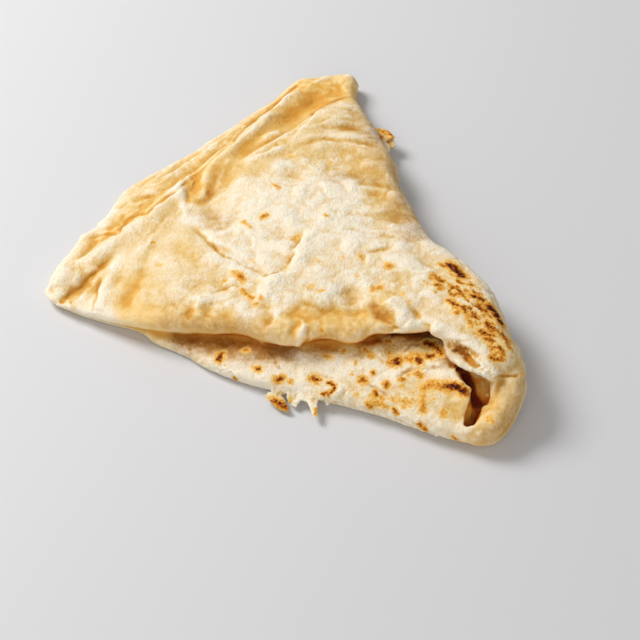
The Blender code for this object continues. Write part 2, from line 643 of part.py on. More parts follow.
def new_collection(name):
    """A collection linked to the scene."""
    collection = bpy.data.collections.new(name)
    bpy.context.scene.collection.children.link(collection)
    return collection


for old in list(bpy.data.objects):
    bpy.data.objects.remove(old)

parts = new_collection("folded roti")
sheets = new_collection("dough sheets")
hollows = new_collection("hollows")
thin_pieces = new_collection("thin pieces")

even_mesh = ("REMESH", {"mode": "VOXEL", "voxel_size": VOXEL * MM})
roti = wedge(parts)
roti.name = NODE
rolled("rim", RIM, sheets)
rolled("rim wall", RIM_WALL, sheets)
finish(roti, [even_mesh, ("BOOLEAN", {"operation": "UNION", "operand_type": "COLLECTION",
                                      "collection": sheets, "solver": "EXACT"})])
clear_collection(sheets)
stacked("mouth", MOUTH, hollows)
rolled("slot under the lip", SLOT_HOLLOW, hollows)
for hollow in hollows.objects:
    finish(roti, [("BOOLEAN", {"operation": "DIFFERENCE", "object": hollow, "solver": "EXACT"})])
clear_collection(hollows)
flat_sheet("inner flap", INNER_FLAP, INNER_FLAP_HEIGHT, INNER_FLAP_THICKNESS, thin_pieces)
for name, values in FLAKES.items():
    flake(name, *values, thin_pieces)
finish(roti, [
    ("BOOLEAN", {"operation": "UNION", "operand_type": "COLLECTION",
                 "collection": thin_pieces, "solver": "EXACT"}),
    even_mesh,
    ("SMOOTH", {"factor": 0.4, "iterations": 1}),
])
clear_collection(thin_pieces)
triangles = sum(len(face.vertices) - 2 for face in roti.data.polygons)
finish(roti, [("DECIMATE", {"ratio": TRIANGLES / triangles})])
drop_scraps(roti)
cut_flat_base(roti)
stand_over_origin(roti)
roti.data.materials.clear()
roti.data.materials.append(dough_material())
roti.data.shade_smooth()
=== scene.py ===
import math

import bpy
import numpy as np
from mathutils import Matrix, Vector, bvhtree, noise


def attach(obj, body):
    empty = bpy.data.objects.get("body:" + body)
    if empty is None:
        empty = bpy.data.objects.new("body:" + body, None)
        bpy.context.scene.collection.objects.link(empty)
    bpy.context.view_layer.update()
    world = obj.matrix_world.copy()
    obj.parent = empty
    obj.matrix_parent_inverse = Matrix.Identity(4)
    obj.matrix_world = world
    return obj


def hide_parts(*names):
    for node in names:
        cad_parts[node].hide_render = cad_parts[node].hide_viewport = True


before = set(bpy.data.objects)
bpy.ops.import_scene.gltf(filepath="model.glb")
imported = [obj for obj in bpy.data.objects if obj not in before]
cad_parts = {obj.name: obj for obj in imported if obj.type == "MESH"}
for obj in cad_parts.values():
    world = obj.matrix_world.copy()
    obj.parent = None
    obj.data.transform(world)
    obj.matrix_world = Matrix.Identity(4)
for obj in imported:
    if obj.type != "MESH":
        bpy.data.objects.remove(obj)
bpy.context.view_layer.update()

# The camera. It looks down on the bread's long front edge from a little left of straight ahead, as the
# photograph does, and the marks that are given in the picture are placed through it.
PHOTO_SIDE = 640
LENS = 104.96
SENSOR = 36.0
TURNED_LEFT = math.radians(26)
LOOKS_DOWN = math.radians(48.5)
ROLLED = math.radians(-1.8)
CAMERA_DISTANCE = 0.7427
LOOKS_AT = Vector((0.0083, -0.0425, 0))

ahead = Vector((-math.sin(TURNED_LEFT) * math.cos(LOOKS_DOWN),
                math.cos(TURNED_LEFT) * math.cos(LOOKS_DOWN), -math.sin(LOOKS_DOWN)))
level = Vector((math.cos(TURNED_LEFT), math.sin(TURNED_LEFT), 0))
upward = level.cross(ahead)
across = level * math.cos(ROLLED) + upward * math.sin(ROLLED)
raised = upward * math.cos(ROLLED) - level * math.sin(ROLLED)
eye = LOOKS_AT - ahead * CAMERA_DISTANCE
bpy.ops.object.camera_add(location=(0, 0, 0))
camera = bpy.context.object
camera.name = "camera"
camera.data.lens = LENS
camera.data.sensor_width = SENSOR
place = Matrix((across, raised, -ahead)).transposed().to_4x4()
place.translation = eye
camera.matrix_world = place
bpy.context.scene.camera = camera


def look_through(right, down):
    """The way the camera looks at a pixel, right and down from the picture's corner."""
    aside = (right / PHOTO_SIDE - 0.5) * SENSOR / LENS
    above = (0.5 - down / PHOTO_SIDE) * SENSOR / LENS
    return (ahead + across * aside + raised * above).normalized()


# Torn flakes of the edges: thin bits of crust, brown at their tips, that hang from the front
# edge and stick out by the outer fold. Each is an outline with its height over the floor there.
MM = 0.001
FLAKE_THICKNESS = 1.0
FLAKES = {
    "brown flake": [(264, 395, 3.6), (268, 390, 4.0), (275, 394, 3.8), (281, 399, 3.6), (286, 403, 3.2),
                    (290, 408, 2.8), (287, 411, 2.4), (281, 410, 2.2), (275, 406, 2.4), (269, 400, 2.8)],
    "small flake beside it": [(286, 394, 3.6), (296, 394, 3.8), (301, 398, 3.4), (299, 403, 2.8),
                              (296, 407, 2.2), (292, 406, 2.2), (289, 401, 2.8)],
    "hanging tip": [(306, 396, 5.0), (318, 397, 5.0), (318, 406, 4.4), (318, 414, 3.6),
                    (315, 417, 3.4), (312, 413, 3.6), (309, 406, 4.2)],
    "small torn point": [(322, 398, 5.0), (332, 398, 5.0), (330, 404, 3.6), (326, 405, 3.4)],
    "flake by the outer fold": [(370, 127, 7.6), (377, 126.5, 7.8), (385, 128.5, 8.2), (391, 132, 8.6),
                                (395, 137, 8.6), (391, 138, 8.0), (384, 135, 7.2), (375, 132, 7.0)],
    "pale bit under it": [(372, 132, 6.2), (384, 136, 6.6), (394, 139, 6.8), (397, 146, 5.6),
                          (391, 148, 5.0), (386, 144, 5.2), (381, 149, 4.8), (374, 142, 5.2)],
}

bpy.ops.object.select_all(action="DESELECT")
flakes = []
for name, outline in FLAKES.items():
    bpy.ops.mesh.primitive_circle_add(vertices=len(outline), radius=5 * MM, fill_type="NGON")
    flake = bpy.context.object
    flake.name = name.replace(" ", "_")
    for corner, (right, down, height) in zip(flake.data.vertices, outline):
        look = look_through(right, down)
        corner.co = eye + look * ((height * MM - eye.z) / look.z)
    bpy.ops.object.mode_set(mode="EDIT")
    bpy.ops.mesh.select_all(action="SELECT")
    bpy.ops.mesh.extrude_region_move(TRANSFORM_OT_translate={"value": (0, 0, -FLAKE_THICKNESS * MM)})
    bpy.ops.mesh.select_all(action="SELECT")
    bpy.ops.mesh.normals_make_consistent(inside=False)
    bpy.ops.object.mode_set(mode="OBJECT")
    flakes.append(flake)

# The folded bread: one large sheet of soft wheat dough in thin layers, baked on a griddle and
# folded to a wedge while warm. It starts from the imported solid, evened out and rounded, with the
# torn flakes joined on. They are rounded less, as far from their corners as is said here.
MERGED_WITHIN = 0.01 * MM
EVEN_MESH = 0.56 * MM
ROUNDING = 0.5
ROUNDING_PASSES = 7
FLAKE_ROUNDING = 0.2
FLAKE_REACH = 2.2
FAR = 1e9

bpy.ops.object.select_all(action="DESELECT")
bread = bpy.data.objects.new("folded_bread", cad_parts["roti"].data.copy())
bpy.context.scene.collection.objects.link(bread)
bpy.context.view_layer.objects.active = bread
bread.select_set(True)
bread.data.materials.clear()
bpy.ops.object.mode_set(mode="EDIT")
bpy.ops.mesh.select_all(action="SELECT")
bpy.ops.mesh.remove_doubles(threshold=MERGED_WITHIN)
bpy.ops.object.mode_set(mode="OBJECT")
flake_places = np.array([flake.matrix_world @ corner.co for flake in flakes
                         for corner in flake.data.vertices])
for flake in flakes:
    flake.select_set(True)
bpy.ops.object.join()
evened = bread.modifiers.new("evened", "REMESH")
evened.mode = "VOXEL"
evened.voxel_size = EVEN_MESH
bpy.ops.object.modifier_apply(modifier="evened")


def corners_of(piece):
    """Where a mesh's corners are, in millimetres."""
    found = np.empty(len(piece.data.vertices) * 3)
    piece.data.vertices.foreach_get("co", found)
    return found.reshape(-1, 3) / MM


nearest = np.full(len(bread.data.vertices), FAR)
for flake_place in flake_places:
    nearest = np.minimum(nearest, np.linalg.norm(corners_of(bread) - flake_place / MM, axis=1))
rounding = bread.vertex_groups.new(name="rounding")
rounding.add(np.flatnonzero(nearest >= FLAKE_REACH).tolist(), 1.0, "REPLACE")
rounding.add(np.flatnonzero(nearest < FLAKE_REACH).tolist(), FLAKE_ROUNDING, "REPLACE")
rounded = bread.modifiers.new("rounded", "SMOOTH")
rounded.factor = ROUNDING
rounded.iterations = ROUNDING_PASSES
rounded.vertex_group = "rounding"
bpy.ops.object.modifier_apply(modifier="rounded")


def outwards_of(piece):
    """Which way a mesh's surface faces at its corners."""
    found = np.empty(len(piece.data.vertices) * 3)
    piece.data.vertices.foreach_get("normal", found)
    return found.reshape(-1, 3)


def raise_surface(piece, heights):
    """Move a mesh's corners outwards by the given heights, in millimetres, and keep its base flat."""
    moved = corners_of(piece) + outwards_of(piece) * heights[:, None]
    moved[:, 2] = np.maximum(moved[:, 2], 0)
    piece.data.vertices.foreach_set("co", (moved * MM).ravel())
    piece.data.update()


def ease(value):
    """0 to 1 with a level start and end."""
    value = np.clip(value, 0, 1)
    return value * value * (3 - 2 * value)


def rough(points, width, layers=3):
    """Soft uneven noise."""
    return np.array([noise.fractal(Vector(point) / width, 1.0, 2.0, layers) for point in points])


def wavered(points, amount, width):
    """The points moved a little this way and that, so that what is laid through them wavers."""
    apart = (0, 37, 71)
    return points + amount * np.stack([rough(points + shift, width, 2) for shift in apart], 1)


# Where on the bread things are: a place seen in the photograph, right and down from its corner
# in pixels, is found on the surface by a straight line from the camera.
surface = bvhtree.BVHTree.FromObject(bread, bpy.context.evaluated_depsgraph_get())


def on_bread(right, down):
    """The place on the bread's surface seen at a pixel, in millimetres, or None beside it."""
    hit = surface.ray_cast(eye, look_through(right, down))[0]
    return None if hit is None else np.array(hit) / MM


def line_on_bread(pixels, steps=5):
    """A line along the surface through places seen in the photograph."""
    found = []
    for start, end in zip(pixels, pixels[1:]):
        for share in np.linspace(0, 1, steps, endpoint=False):
            found.append(on_bread(start[0] + (end[0] - start[0]) * share,
                                  start[1] + (end[1] - start[1]) * share))
    found.append(on_bread(*pixels[-1]))
    return np.array([spot for spot in found if spot is not None])


def away_from_line(points, line, reach):
    """Each point's distance from a line in space, up to a reach, and the share of the line there."""
    gaps = np.full(len(points), FAR)
    shares = np.zeros(len(points))
    low, high = line.min(0) - reach, line.max(0) + reach
    near = ((points > low) & (points < high)).all(1)
    chosen = points[near]
    best = np.full(len(chosen), FAR)
    share = np.zeros(len(chosen))
    for index, (start, end) in enumerate(zip(line, line[1:])):
        run = end - start
        along = np.clip((chosen - start) @ run / max(run @ run, 1e-9), 0, 1)
        gap = np.linalg.norm(chosen - start - along[:, None] * run, axis=1)
        share = np.where(gap < best, (index + along) / (len(line) - 1), share)
        best = np.minimum(best, gap)
    gaps[near] = best
    shares[near] = share
    return gaps, shares


# Creases and pleats of the folded layers, each with its half width and its height in
# millimetres, less than nothing for a crease. They run out at both ends, over a quarter of their
# length, or at the start over the share that a fourth value gives.
CREASES = {
    "crease between strip and ridge": (
        [(58, 263), (70, 256), (82, 250), (90, 244), (98, 238), (108, 235), (118, 232), (123, 226),
         (127, 220), (137, 215), (147, 212), (155, 204), (163, 198), (174, 191), (190, 180),
         (211, 160), (240, 135), (268, 112)], 1.1, -1.3),
    "tail valley": ([(62, 302), (68, 296), (80, 285), (92, 276), (104, 265), (112, 256)], 0.8, -0.6, 0.02),
    "tail valley's open end": ([(68, 305), (74, 300), (79, 294), (86, 286), (93, 280)], 2.6, -1.2, 0.12),
    "filled wall of the valley": ([(70, 288), (80, 279), (90, 271), (99, 263)], 2.6, 1.2),
    "small valley by the tail": ([(93, 312), (96, 297), (98, 284), (101, 275)], 0.7, -0.8, 0.02),
    "roll beside the small valley": ([(101, 312), (103, 298), (106, 284), (110, 272)], 2.2, 0.6, 0.1),
    "edge of the smooth roll": ([(119, 318), (118, 298), (124, 280), (137, 258), (152, 240),
                                 (168, 218)], 2.4, 0.6),
    "yellow dip beside it": ([(131, 316), (130, 298), (136, 281), (148, 262)], 2.2, -0.8),
    "thin line by the ridge": ([(140, 250), (150, 236), (160, 222), (172, 212)], 1.1, -0.5),
    "white pleat": ([(178, 178), (182, 192), (184, 205), (186, 218), (193, 230)], 1.8, 0.9),
    "hollow beside it, filled": ([(190, 172), (191, 182), (192, 192), (193, 204), (194, 214)], 2.0, 1.5),
    "golden hollow by the pleat": ([(201, 172), (198, 182), (195, 192), (192, 202)], 1.6, -0.6),
    "second pleat": ([(209, 168), (205, 182), (202, 196), (198, 206)], 1.9, 1.0),
    "second pleat's hollow": ([(216, 172), (212, 186), (208, 200)], 1.5, -0.8),
    "third pleat": ([(234, 152), (225, 166), (217, 182), (212, 198)], 2.2, 0.7),
    "third pleat's hollow": ([(246, 158), (238, 170), (229, 184), (220, 200)], 1.9, -0.6),
    "long crease": ([(190, 222), (198, 231), (207, 240), (217, 251), (226, 255), (232, 258),
                     (238, 263), (248, 267), (257, 270), (262, 276)], 0.6, -0.9),
    "long crease's far end": ([(260, 277), (265, 275), (273, 273), (283, 271)], 0.6, -1.1),
    "edge over the long crease": ([(204, 232), (214, 240), (226, 245), (238, 252), (250, 260)],
                                  1.8, 0.6),
    "puff under the far end": ([(262, 285), (270, 281), (280, 278), (288, 277)], 2.0, 0.8),
    "fold rising from it": ([(286, 268), (290, 258), (294, 247), (297, 240), (302, 233), (308, 226)],
                            0.9, -0.9),
    "fold's edge": ([(291, 270), (296, 262), (300, 250), (304, 242), (311, 233), (320, 226)],
                    2.2, 0.8),
    "short wrinkle": ([(257, 239), (263, 238), (271, 234)], 0.7, -0.5),
    "shaded hollow": ([(208, 212), (217, 219), (224, 222), (217, 234)], 3.4, -1.2),
    "hollow's far wall": ([(206, 228), (213, 236), (222, 235), (232, 222)], 1.6, 0.5),
    "line below the hollow": ([(240, 222), (246, 236), (252, 250), (258, 262)], 1.0, -0.4),
    "lumps of the strip": ([(96, 230), (103, 222), (112, 214), (122, 209)], 1.8, 0.9),
    "strip's dip by the lumps": ([(104, 231), (113, 226), (121, 219), (125, 212)], 1.3, -0.9),
    "strip's second dip": ([(131, 203), (138, 199), (146, 197), (155, 193)], 1.3, -0.8),
    "strip's lower lump": ([(80, 249), (88, 241), (95, 234)], 1.6, 0.6),
    "outer line of the strip": ([(150, 192), (180, 168), (212, 147), (240, 126), (262, 107),
                                 (285, 87), (300, 76)], 0.9, 0.6),
    "inner line of the strip": ([(205, 161), (232, 141), (252, 122), (275, 104), (296, 88),
                                 (310, 79)], 0.9, -1.1),
    "ridge beside it": ([(211, 163), (238, 143), (262, 121), (285, 101), (306, 87), (327, 78),
                         (350, 77)], 1.4, 1.2),
    "yellow sheet's dip": ([(300, 112), (316, 100), (334, 93), (350, 90)], 3.6, -1.3),
    "top layers' edge": ([(357, 100), (345, 103), (330, 108), (317, 116), (305, 124), (291, 137),
                          (276, 149), (258, 156), (240, 168), (226, 185)], 1.8, 0.9),
    "step under that edge": ([(352, 95), (337, 100), (322, 107), (309, 117), (297, 129),
                              (284, 143), (264, 151), (246, 160)], 1.4, -1.3),
    "small fold on the yellow side": ([(258, 141), (270, 135), (283, 132)], 1.8, 1.1),
    "under the small fold": ([(262, 148), (276, 142), (289, 136)], 1.4, -0.9),
    "upper wrinkle": ([(322, 113), (334, 108), (347, 109), (358, 113)], 0.8, -0.3),
    "second upper wrinkle": ([(316, 124), (330, 118), (346, 119), (364, 124)], 0.8, -0.35),
    "third upper wrinkle": ([(306, 133), (322, 128), (342, 128), (366, 132)], 0.9, -0.3),
    "upper swell's edge": ([(292, 147), (306, 142), (325, 139), (348, 140), (366, 143), (380, 149)],
                           1.2, -0.8),
    "upper swell": ([(304, 150), (322, 145), (345, 146), (364, 149), (376, 154)], 2.6, 0.8),
    "dent on the right side": ([(336, 178), (352, 174), (372, 176), (390, 180)], 4.2, -1.1),
    "ridge under the dent": ([(342, 191), (356, 188), (374, 190), (392, 193), (402, 198)], 1.8, 0.8),
    "right wrinkle": ([(322, 214), (340, 210), (358, 214), (380, 215), (402, 212)], 1.3, -0.5),
    "second right wrinkle": ([(352, 219), (372, 224), (388, 230), (404, 233)], 1.5, -0.5),
    "third right wrinkle": ([(338, 232), (352, 228), (368, 232), (388, 236), (408, 241)], 1.2, -0.5),
    "fourth right wrinkle": ([(365, 251), (378, 250), (388, 247), (400, 244)], 0.9, -0.5),
    "small hole's edge": ([(362, 252), (366, 258), (364, 263), (360, 265)], 0.8, -0.7),
    "notch above the lip": ([(396, 332), (390, 323), (383, 315), (375, 308), (367, 302)], 2.3, -2.0, 0.05),
    "notch's left wall": ([(352, 305), (360, 312), (366, 322)], 2.6, 0.5),
    "puff over the notch": ([(384, 300), (391, 306), (399, 314), (406, 323)], 2.3, 1.5),
    "edge of that puff": ([(380, 303), (387, 309), (394, 317), (399, 326)], 0.8, -1.0),
    "groove right of the puff": ([(404, 296), (411, 306), (416, 318), (418, 328)], 1.2, -1.0),
    "second lip puff": ([(409, 322), (414, 330)], 2.4, 0.6),
    "groove in the lip": ([(423, 318), (427, 327), (429, 334)], 1.1, -0.9),
    "third lip puff": ([(434, 324), (438, 334)], 2.2, 0.6),
    "pleat in the lip": ([(306, 319), (303, 329), (299, 339), (297, 345)], 1.0, 1.0),
    "pleat's left groove": ([(300, 318), (296, 328), (292, 338)], 1.2, -1.1),
    "pleat's right groove": ([(311, 326), (307, 336), (304, 343)], 0.8, -0.7),
    "lip groove at the left": ([(195, 297), (191, 308), (189, 321)], 1.6, -0.7),
    "lip fold at the left": ([(204, 294), (199, 306), (197, 320)], 1.9, 0.8),
    "groove right of that fold": ([(214, 299), (208, 309), (206, 322)], 1.3, -0.6),
    "soft fold of the lip": ([(236, 298), (226, 304), (218, 312)], 2.0, 0.5),
    "groove beside the soft fold": ([(238, 305), (229, 312), (224, 322)], 1.4, -0.5),
    "lip swell": ([(222, 305), (236, 302), (252, 304)], 3.4, 0.9),
    "groove in the middle of the lip": ([(262, 296), (266, 306), (267, 318), (265, 328)], 1.5, -0.9),
    "lip swell in the middle": ([(276, 306), (282, 318), (284, 330)], 2.6, 0.7),
    "wrinkle over the lip": ([(196, 290), (214, 292), (230, 287), (246, 284)], 1.0, -0.5),
    "wrinkle on the flap": ([(268, 348), (273, 357), (279, 368)], 0.6, -0.5),
    "second wrinkle on the flap": ([(274, 347), (277, 358), (276, 366)], 0.5, -0.4),
    "long wrinkle on the flap": ([(396, 377), (404, 372), (414, 369), (428, 368), (440, 366)], 0.6, -0.7),
    "crack on the flap": ([(404, 352), (411, 349), (418, 344), (424, 343)], 0.5, -0.6),
    "crack below": ([(364, 387), (374, 387), (382, 392), (388, 399)], 0.5, -0.5),
    "tear's edge": ([(330, 378), (338, 382), (342, 390), (334, 398), (324, 402)], 0.8, 0.8),
    "torn layer on the flap": ([(302, 376), (322, 376), (336, 380), (344, 390), (340, 402)], 0.7, -0.6),
    "crease where the rim starts": ([(496, 378), (504, 376), (514, 375), (524, 372)], 0.5, -0.7, 0.05),
    "torn edge by the mouth": ([(462, 350), (468, 354), (475, 360), (482, 366), (490, 373)], 1.0, 1.0),
    "under the torn edge": ([(452, 351), (459, 350), (465, 355), (472, 363), (480, 371)], 0.8, -1.5),
    "curled inner layer": ([(446, 346), (450, 355), (457, 361), (465, 365)], 1.0, 1.1),
    "under the curled layer": ([(441, 346), (445, 355), (451, 363), (459, 369)], 0.9, -1.8),
    "line over the curled layer": ([(452, 343), (460, 341), (468, 341), (475, 339)], 0.5, -0.6),
    "gap inside the mouth": ([(464, 372), (467, 380), (470, 388), (473, 395)], 0.9, -2.4, 0.05),
    "inner face of the rim": ([(484, 402), (480, 408), (475, 415), (471, 422)], 1.0, -0.7),
    "flap's corner by the mouth": ([(462, 374), (467, 384), (471, 394)], 0.9, 0.6),
}
CREASE_SOFTNESS = 1.2
CREASE_HEIGHT = 0.9
CREASE_UNEVEN = (0.5, 6.0)
RUNS_OUT = 0.25

# Places where steam swells the dough: right and down in the photograph, how wide and how high.
# A swell's flanks start late and then fall steeply, and all of the folds waver a little.
SWELLS = {
    "middle of the lip": [(292, 338, 8.0, 1.9), (270, 336, 6.0, 0.8)],
    "lip, right of the middle": [(352, 336, 7.5, 1.5), (326, 330, 5.0, 0.5)],
    "lip by the notch": [(384, 330, 4.5, 0.7), (402, 326, 4.0, 0.9), (412, 326, 3.5, 0.6)],
    "lip by the mouth": [(436, 330, 4.5, 1.0)],
    "lip at the left": [(215, 330, 7.0, 0.7), (240, 318, 8.0, 0.7), (166, 322, 6.0, 0.5)],
    "over the notch": [(404, 308, 6.0, 0.8), (350, 312, 6.0, 0.6)],
    "left swell": [(150, 305, 11.0, 0.9), (183, 300, 10.0, 0.5), (167, 270, 11.0, 0.6)],
    "right shoulder": [(372, 152, 9.0, 0.7), (385, 205, 7.0, 0.6), (400, 232, 7.0, 0.5)],
    "over the top edge": [(338, 116, 7.0, 0.6), (312, 130, 6.0, 0.5)],
    "beside the long crease": [(240, 270, 6.0, 0.6), (276, 287, 6.0, 0.6), (310, 250, 7.0, 0.6)],
    "rim": [(514, 392, 6.0, 0.4), (490, 430, 6.0, 0.4)],
    "strip's outer edge": [(60, 276, 6.5, 2.4), (70, 265, 7.0, 2.6), (80, 251, 8.0, 2.4),
                           (93, 237, 8.0, 1.9), (128, 195, 7.0, 0.8)],
    "top corner": [(351, 81, 4.5, 1.3), (343, 78, 5.0, 0.8), (302, 83, 6.0, 1.5), (288, 91, 6.0, 1.2)],
}
SWELL_FALL = 1.6
SWELL_FLANK = 1.2
FOLDS_WAVER = (0.9, 5.0)


def crease_heights(points, creases):
    """What the creases and pleats add to the surface."""
    total = np.zeros(len(points))
    uneven = 1 + CREASE_UNEVEN[0] * rough(points, CREASE_UNEVEN[1], 2)
    for pixels, width, rise, *start in creases.values():
        width = width * CREASE_SOFTNESS
        gap, share = away_from_line(points, line_on_bread(pixels), 3 * width)
        inside = ease(share / (start or [RUNS_OUT])[0]) * ease((1 - share) / RUNS_OUT)
        total += CREASE_HEIGHT * rise * inside * uneven * np.exp(-(gap / width) ** 2)
    return total


def swell_heights(points, swells):
    """What the swells add to the surface."""
    total = np.zeros(len(points))
    for group in swells.values():
        for right, down, width, rise in group:
            gap = ((points - on_bread(right, down)) ** 2).sum(1) / width ** 2
            total += rise * np.exp(-SWELL_FALL * gap ** SWELL_FLANK)
    return total


waved = wavered(corners_of(bread), *FOLDS_WAVER)
raise_surface(bread, crease_heights(waved, CREASES) + swell_heights(waved, SWELLS))

# Blisters: steam lifts the thin upper layers into soft cushions, large on the lip and small on
# the lower flap. The side by the round edge stays smoother, and so does the far end of the top.
SMOOTH_SIDE = (-58, -22)
SMOOTH_SIDE_KEEPS = 0.35
SMOOTHER_TOP = (10, 40)
SMOOTHER_TOP_LOSES = 0.5
# Each kind of lump: how wide, how high, how wavy, how far its grooves are sunk, and how steep.
LARGE_BLISTER = (9.0, 0.72, 0.35, 0.3)
SMALL_BLISTER = (4.2, 0.38, 0.45, 0.25)
BUBBLE = (2.1, 0.26, 0.3, 0.2, 1.6)
STRIP_LUMP = (5.0, 0.55, 0.4, 0.3)
STRIP_SPECK = (2.4, 0.28, 0.4, 0.3)
TORN_EDGE = (2.3, 0.9, 0.5, 0.35)
TORN_LAYER = (1.7, 1.1, 0.5, 0.4)
INNER_WALL = (1.9, 0.8, 0.5, 0.3)
# Finer relief: how wide and how high, with a length before the height for lines.
GRAIN = (1.1, 0.16)
GRIT = (0.85, 0.15)
CRACKLE = (3.2, 0.25)
CRACKS_APART = 9
LAYER_LINES = (3.4, 24, 0.45)
LAYERED_AS_FAR = 22
FOLD_WRINKLES = (4.6, 22, 0.34)
WRINKLED_AS_FAR = 48
LINES_WAVER = (1.1, 11)
GROOVE_SOFTENING = 1
# Where each goes: how far from its line, and over how much of that it fades. What isn't torn
# stays plain at the foot of the bread and on its underside.
STRIP_WIDTH = (13, 5)
FLAP_WIDTH = (15, 6)
EDGE_WIDTH = (4.5, 4.5)
LAYER_WIDTH = (3.6, 3.0)
WALL_WIDTH = (5, 3.5)
EDGE_HEIGHT = 1.5
FREE_HEIGHT = 2
FREE_FACING = (-0.35, 0.15)


def cushions(points, width, waviness, steep):
    """Cushions of uneven height beside each other, 0 in the grooves between them."""
    bends, least, more, drawn = 0.8, 0.5, 0.9, 3.7
    heights = np.empty(len(points))
    for index, point in enumerate(points):
        spot = Vector(point) / width
        spot += noise.noise_vector(spot * bends) * waviness
        gaps, middles = noise.voronoi(spot)
        uneven = least + more * noise.noise(middles[0] * drawn)
        heights[index] = uneven * (1 - (gaps[0] / max(gaps[1], 1e-6)) ** steep)
    return heights


def lumps(points, width, height, waviness, sunk, steep=2.5, part=1):
    """Lumps with sunk grooves between them, in full or as far as each point has part in them."""
    return height * part * (cushions(points, width, waviness, steep) - sunk)


def close_to(points, line, reach, fade):
    """1 at a line and 0 from a reach on, easing over the last bit of it."""
    return ease((reach - away_from_line(points, line, reach)[0]) / fade)


def lines_by(points, line, reach, width, length, beside):
    """Soft uneven lines beside a line on the surface, along it or straight across it."""
    gap, share = away_from_line(points, line, reach)
    run = np.linalg.norm(np.diff(line, axis=0), axis=1).sum() * share
    heights = np.zeros(len(points))
    for index in np.flatnonzero(gap < reach):
        across, along = (gap[index], run[index]) if beside else (run[index], gap[index])
        spot = Vector((across / width, along / length, 0))
        spot.x += LINES_WAVER[0] * noise.noise(points[index] / LINES_WAVER[1])
        heights[index] = noise.fractal(spot, 1.0, 2.0, 2)
    return heights * ease((reach - gap) / (0.6 * reach))


def evened_out(piece, values, passes):
    """The given values averaged with their neighbours', again and again."""
    ends = np.empty(len(piece.data.edges) * 2, np.int64)
    piece.data.edges.foreach_get("vertices", ends)
    ends = ends.reshape(-1, 2)
    count = np.maximum(np.bincount(ends.ravel(), minlength=len(values)), 1)
    for _ in range(passes):
        total = np.zeros_like(values)
        for axis in range(values.shape[1]):
            total[:, axis] = (np.bincount(ends[:, 0], values[ends[:, 1], axis], len(values))
                              + np.bincount(ends[:, 1], values[ends[:, 0], axis], len(values)))
        values = total / count[:, None]
    return values


def from_to(values, ends):
    """0 up to the first end and 1 from the second on."""
    return ease((values - ends[0]) / (ends[1] - ends[0]))


points = corners_of(bread)
facing = outwards_of(bread)
free = from_to(facing[:, 2], FREE_FACING) * ease(points[:, 2] / FREE_HEIGHT)
puffy = SMOOTH_SIDE_KEEPS + (1 - SMOOTH_SIDE_KEEPS) * from_to(points[:, 0], SMOOTH_SIDE)
puffy *= 1 - SMOOTHER_TOP_LOSES * from_to(points[:, 1], SMOOTHER_TOP)
round_edge = line_on_bread([(52, 290), (80, 248), (112, 214), (150, 188), (200, 152), (250, 114),
                            (298, 79), (340, 78)])
fold_edge = line_on_bread([(356, 104), (372, 128), (392, 160), (410, 205), (428, 243), (462, 276),
                           (494, 312), (512, 350)])
flap_middle = line_on_bread([(185, 348), (230, 368), (290, 375), (350, 375), (400, 385), (450, 405)])
flap_edge = line_on_bread([(178, 350), (200, 362), (225, 373), (250, 383), (290, 396), (330, 400),
                           (360, 407), (400, 421), (430, 433), (455, 442)])
torn_layer = line_on_bread([(450, 348), (457, 346), (464, 350), (470, 356), (478, 363), (486, 370),
                            (493, 376)])
inner_wall = line_on_bread([(474, 370), (480, 376), (484, 384), (485, 392)])
heights = lumps(points, *LARGE_BLISTER)
heights += lumps(points, *SMALL_BLISTER)
heights += lumps(points, *BUBBLE)
heights += GRAIN[1] * rough(points, GRAIN[0])
heights *= puffy
on_strip = close_to(points, round_edge, *STRIP_WIDTH)
heights += lumps(points, *STRIP_LUMP, part=on_strip)
heights += lumps(points, *STRIP_SPECK, part=on_strip)
heights += GRIT[1] * rough(points, GRIT[0], 1)
heights += LAYER_LINES[2] * lines_by(points, round_edge, LAYERED_AS_FAR, *LAYER_LINES[:2], True)
heights += FOLD_WRINKLES[2] * lines_by(points, fold_edge, WRINKLED_AS_FAR, *FOLD_WRINKLES[:2], False)
on_flap = close_to(points, flap_middle, *FLAP_WIDTH)
cracks = np.zeros(len(points))
for index in np.flatnonzero(on_flap > 0):
    crackled = abs(noise.fractal(Vector(points[index]) / CRACKLE[0], 1.0, 2.0, 2))
    cracks[index] = max(0, 1 - CRACKS_APART * crackled)
heights -= CRACKLE[1] * cracks * on_flap
heights = evened_out(bread, heights[:, None], GROOVE_SOFTENING)[:, 0] * free
by_edge = close_to(points, flap_edge, *EDGE_WIDTH) * ease(points[:, 2] / EDGE_HEIGHT)
heights += lumps(points, *TORN_EDGE, part=by_edge)
heights += lumps(points, *TORN_LAYER, part=close_to(points, torn_layer, *LAYER_WIDTH))
heights += lumps(points, *INNER_WALL, part=close_to(points, inner_wall, *WALL_WIDTH))
raise_surface(bread, heights)

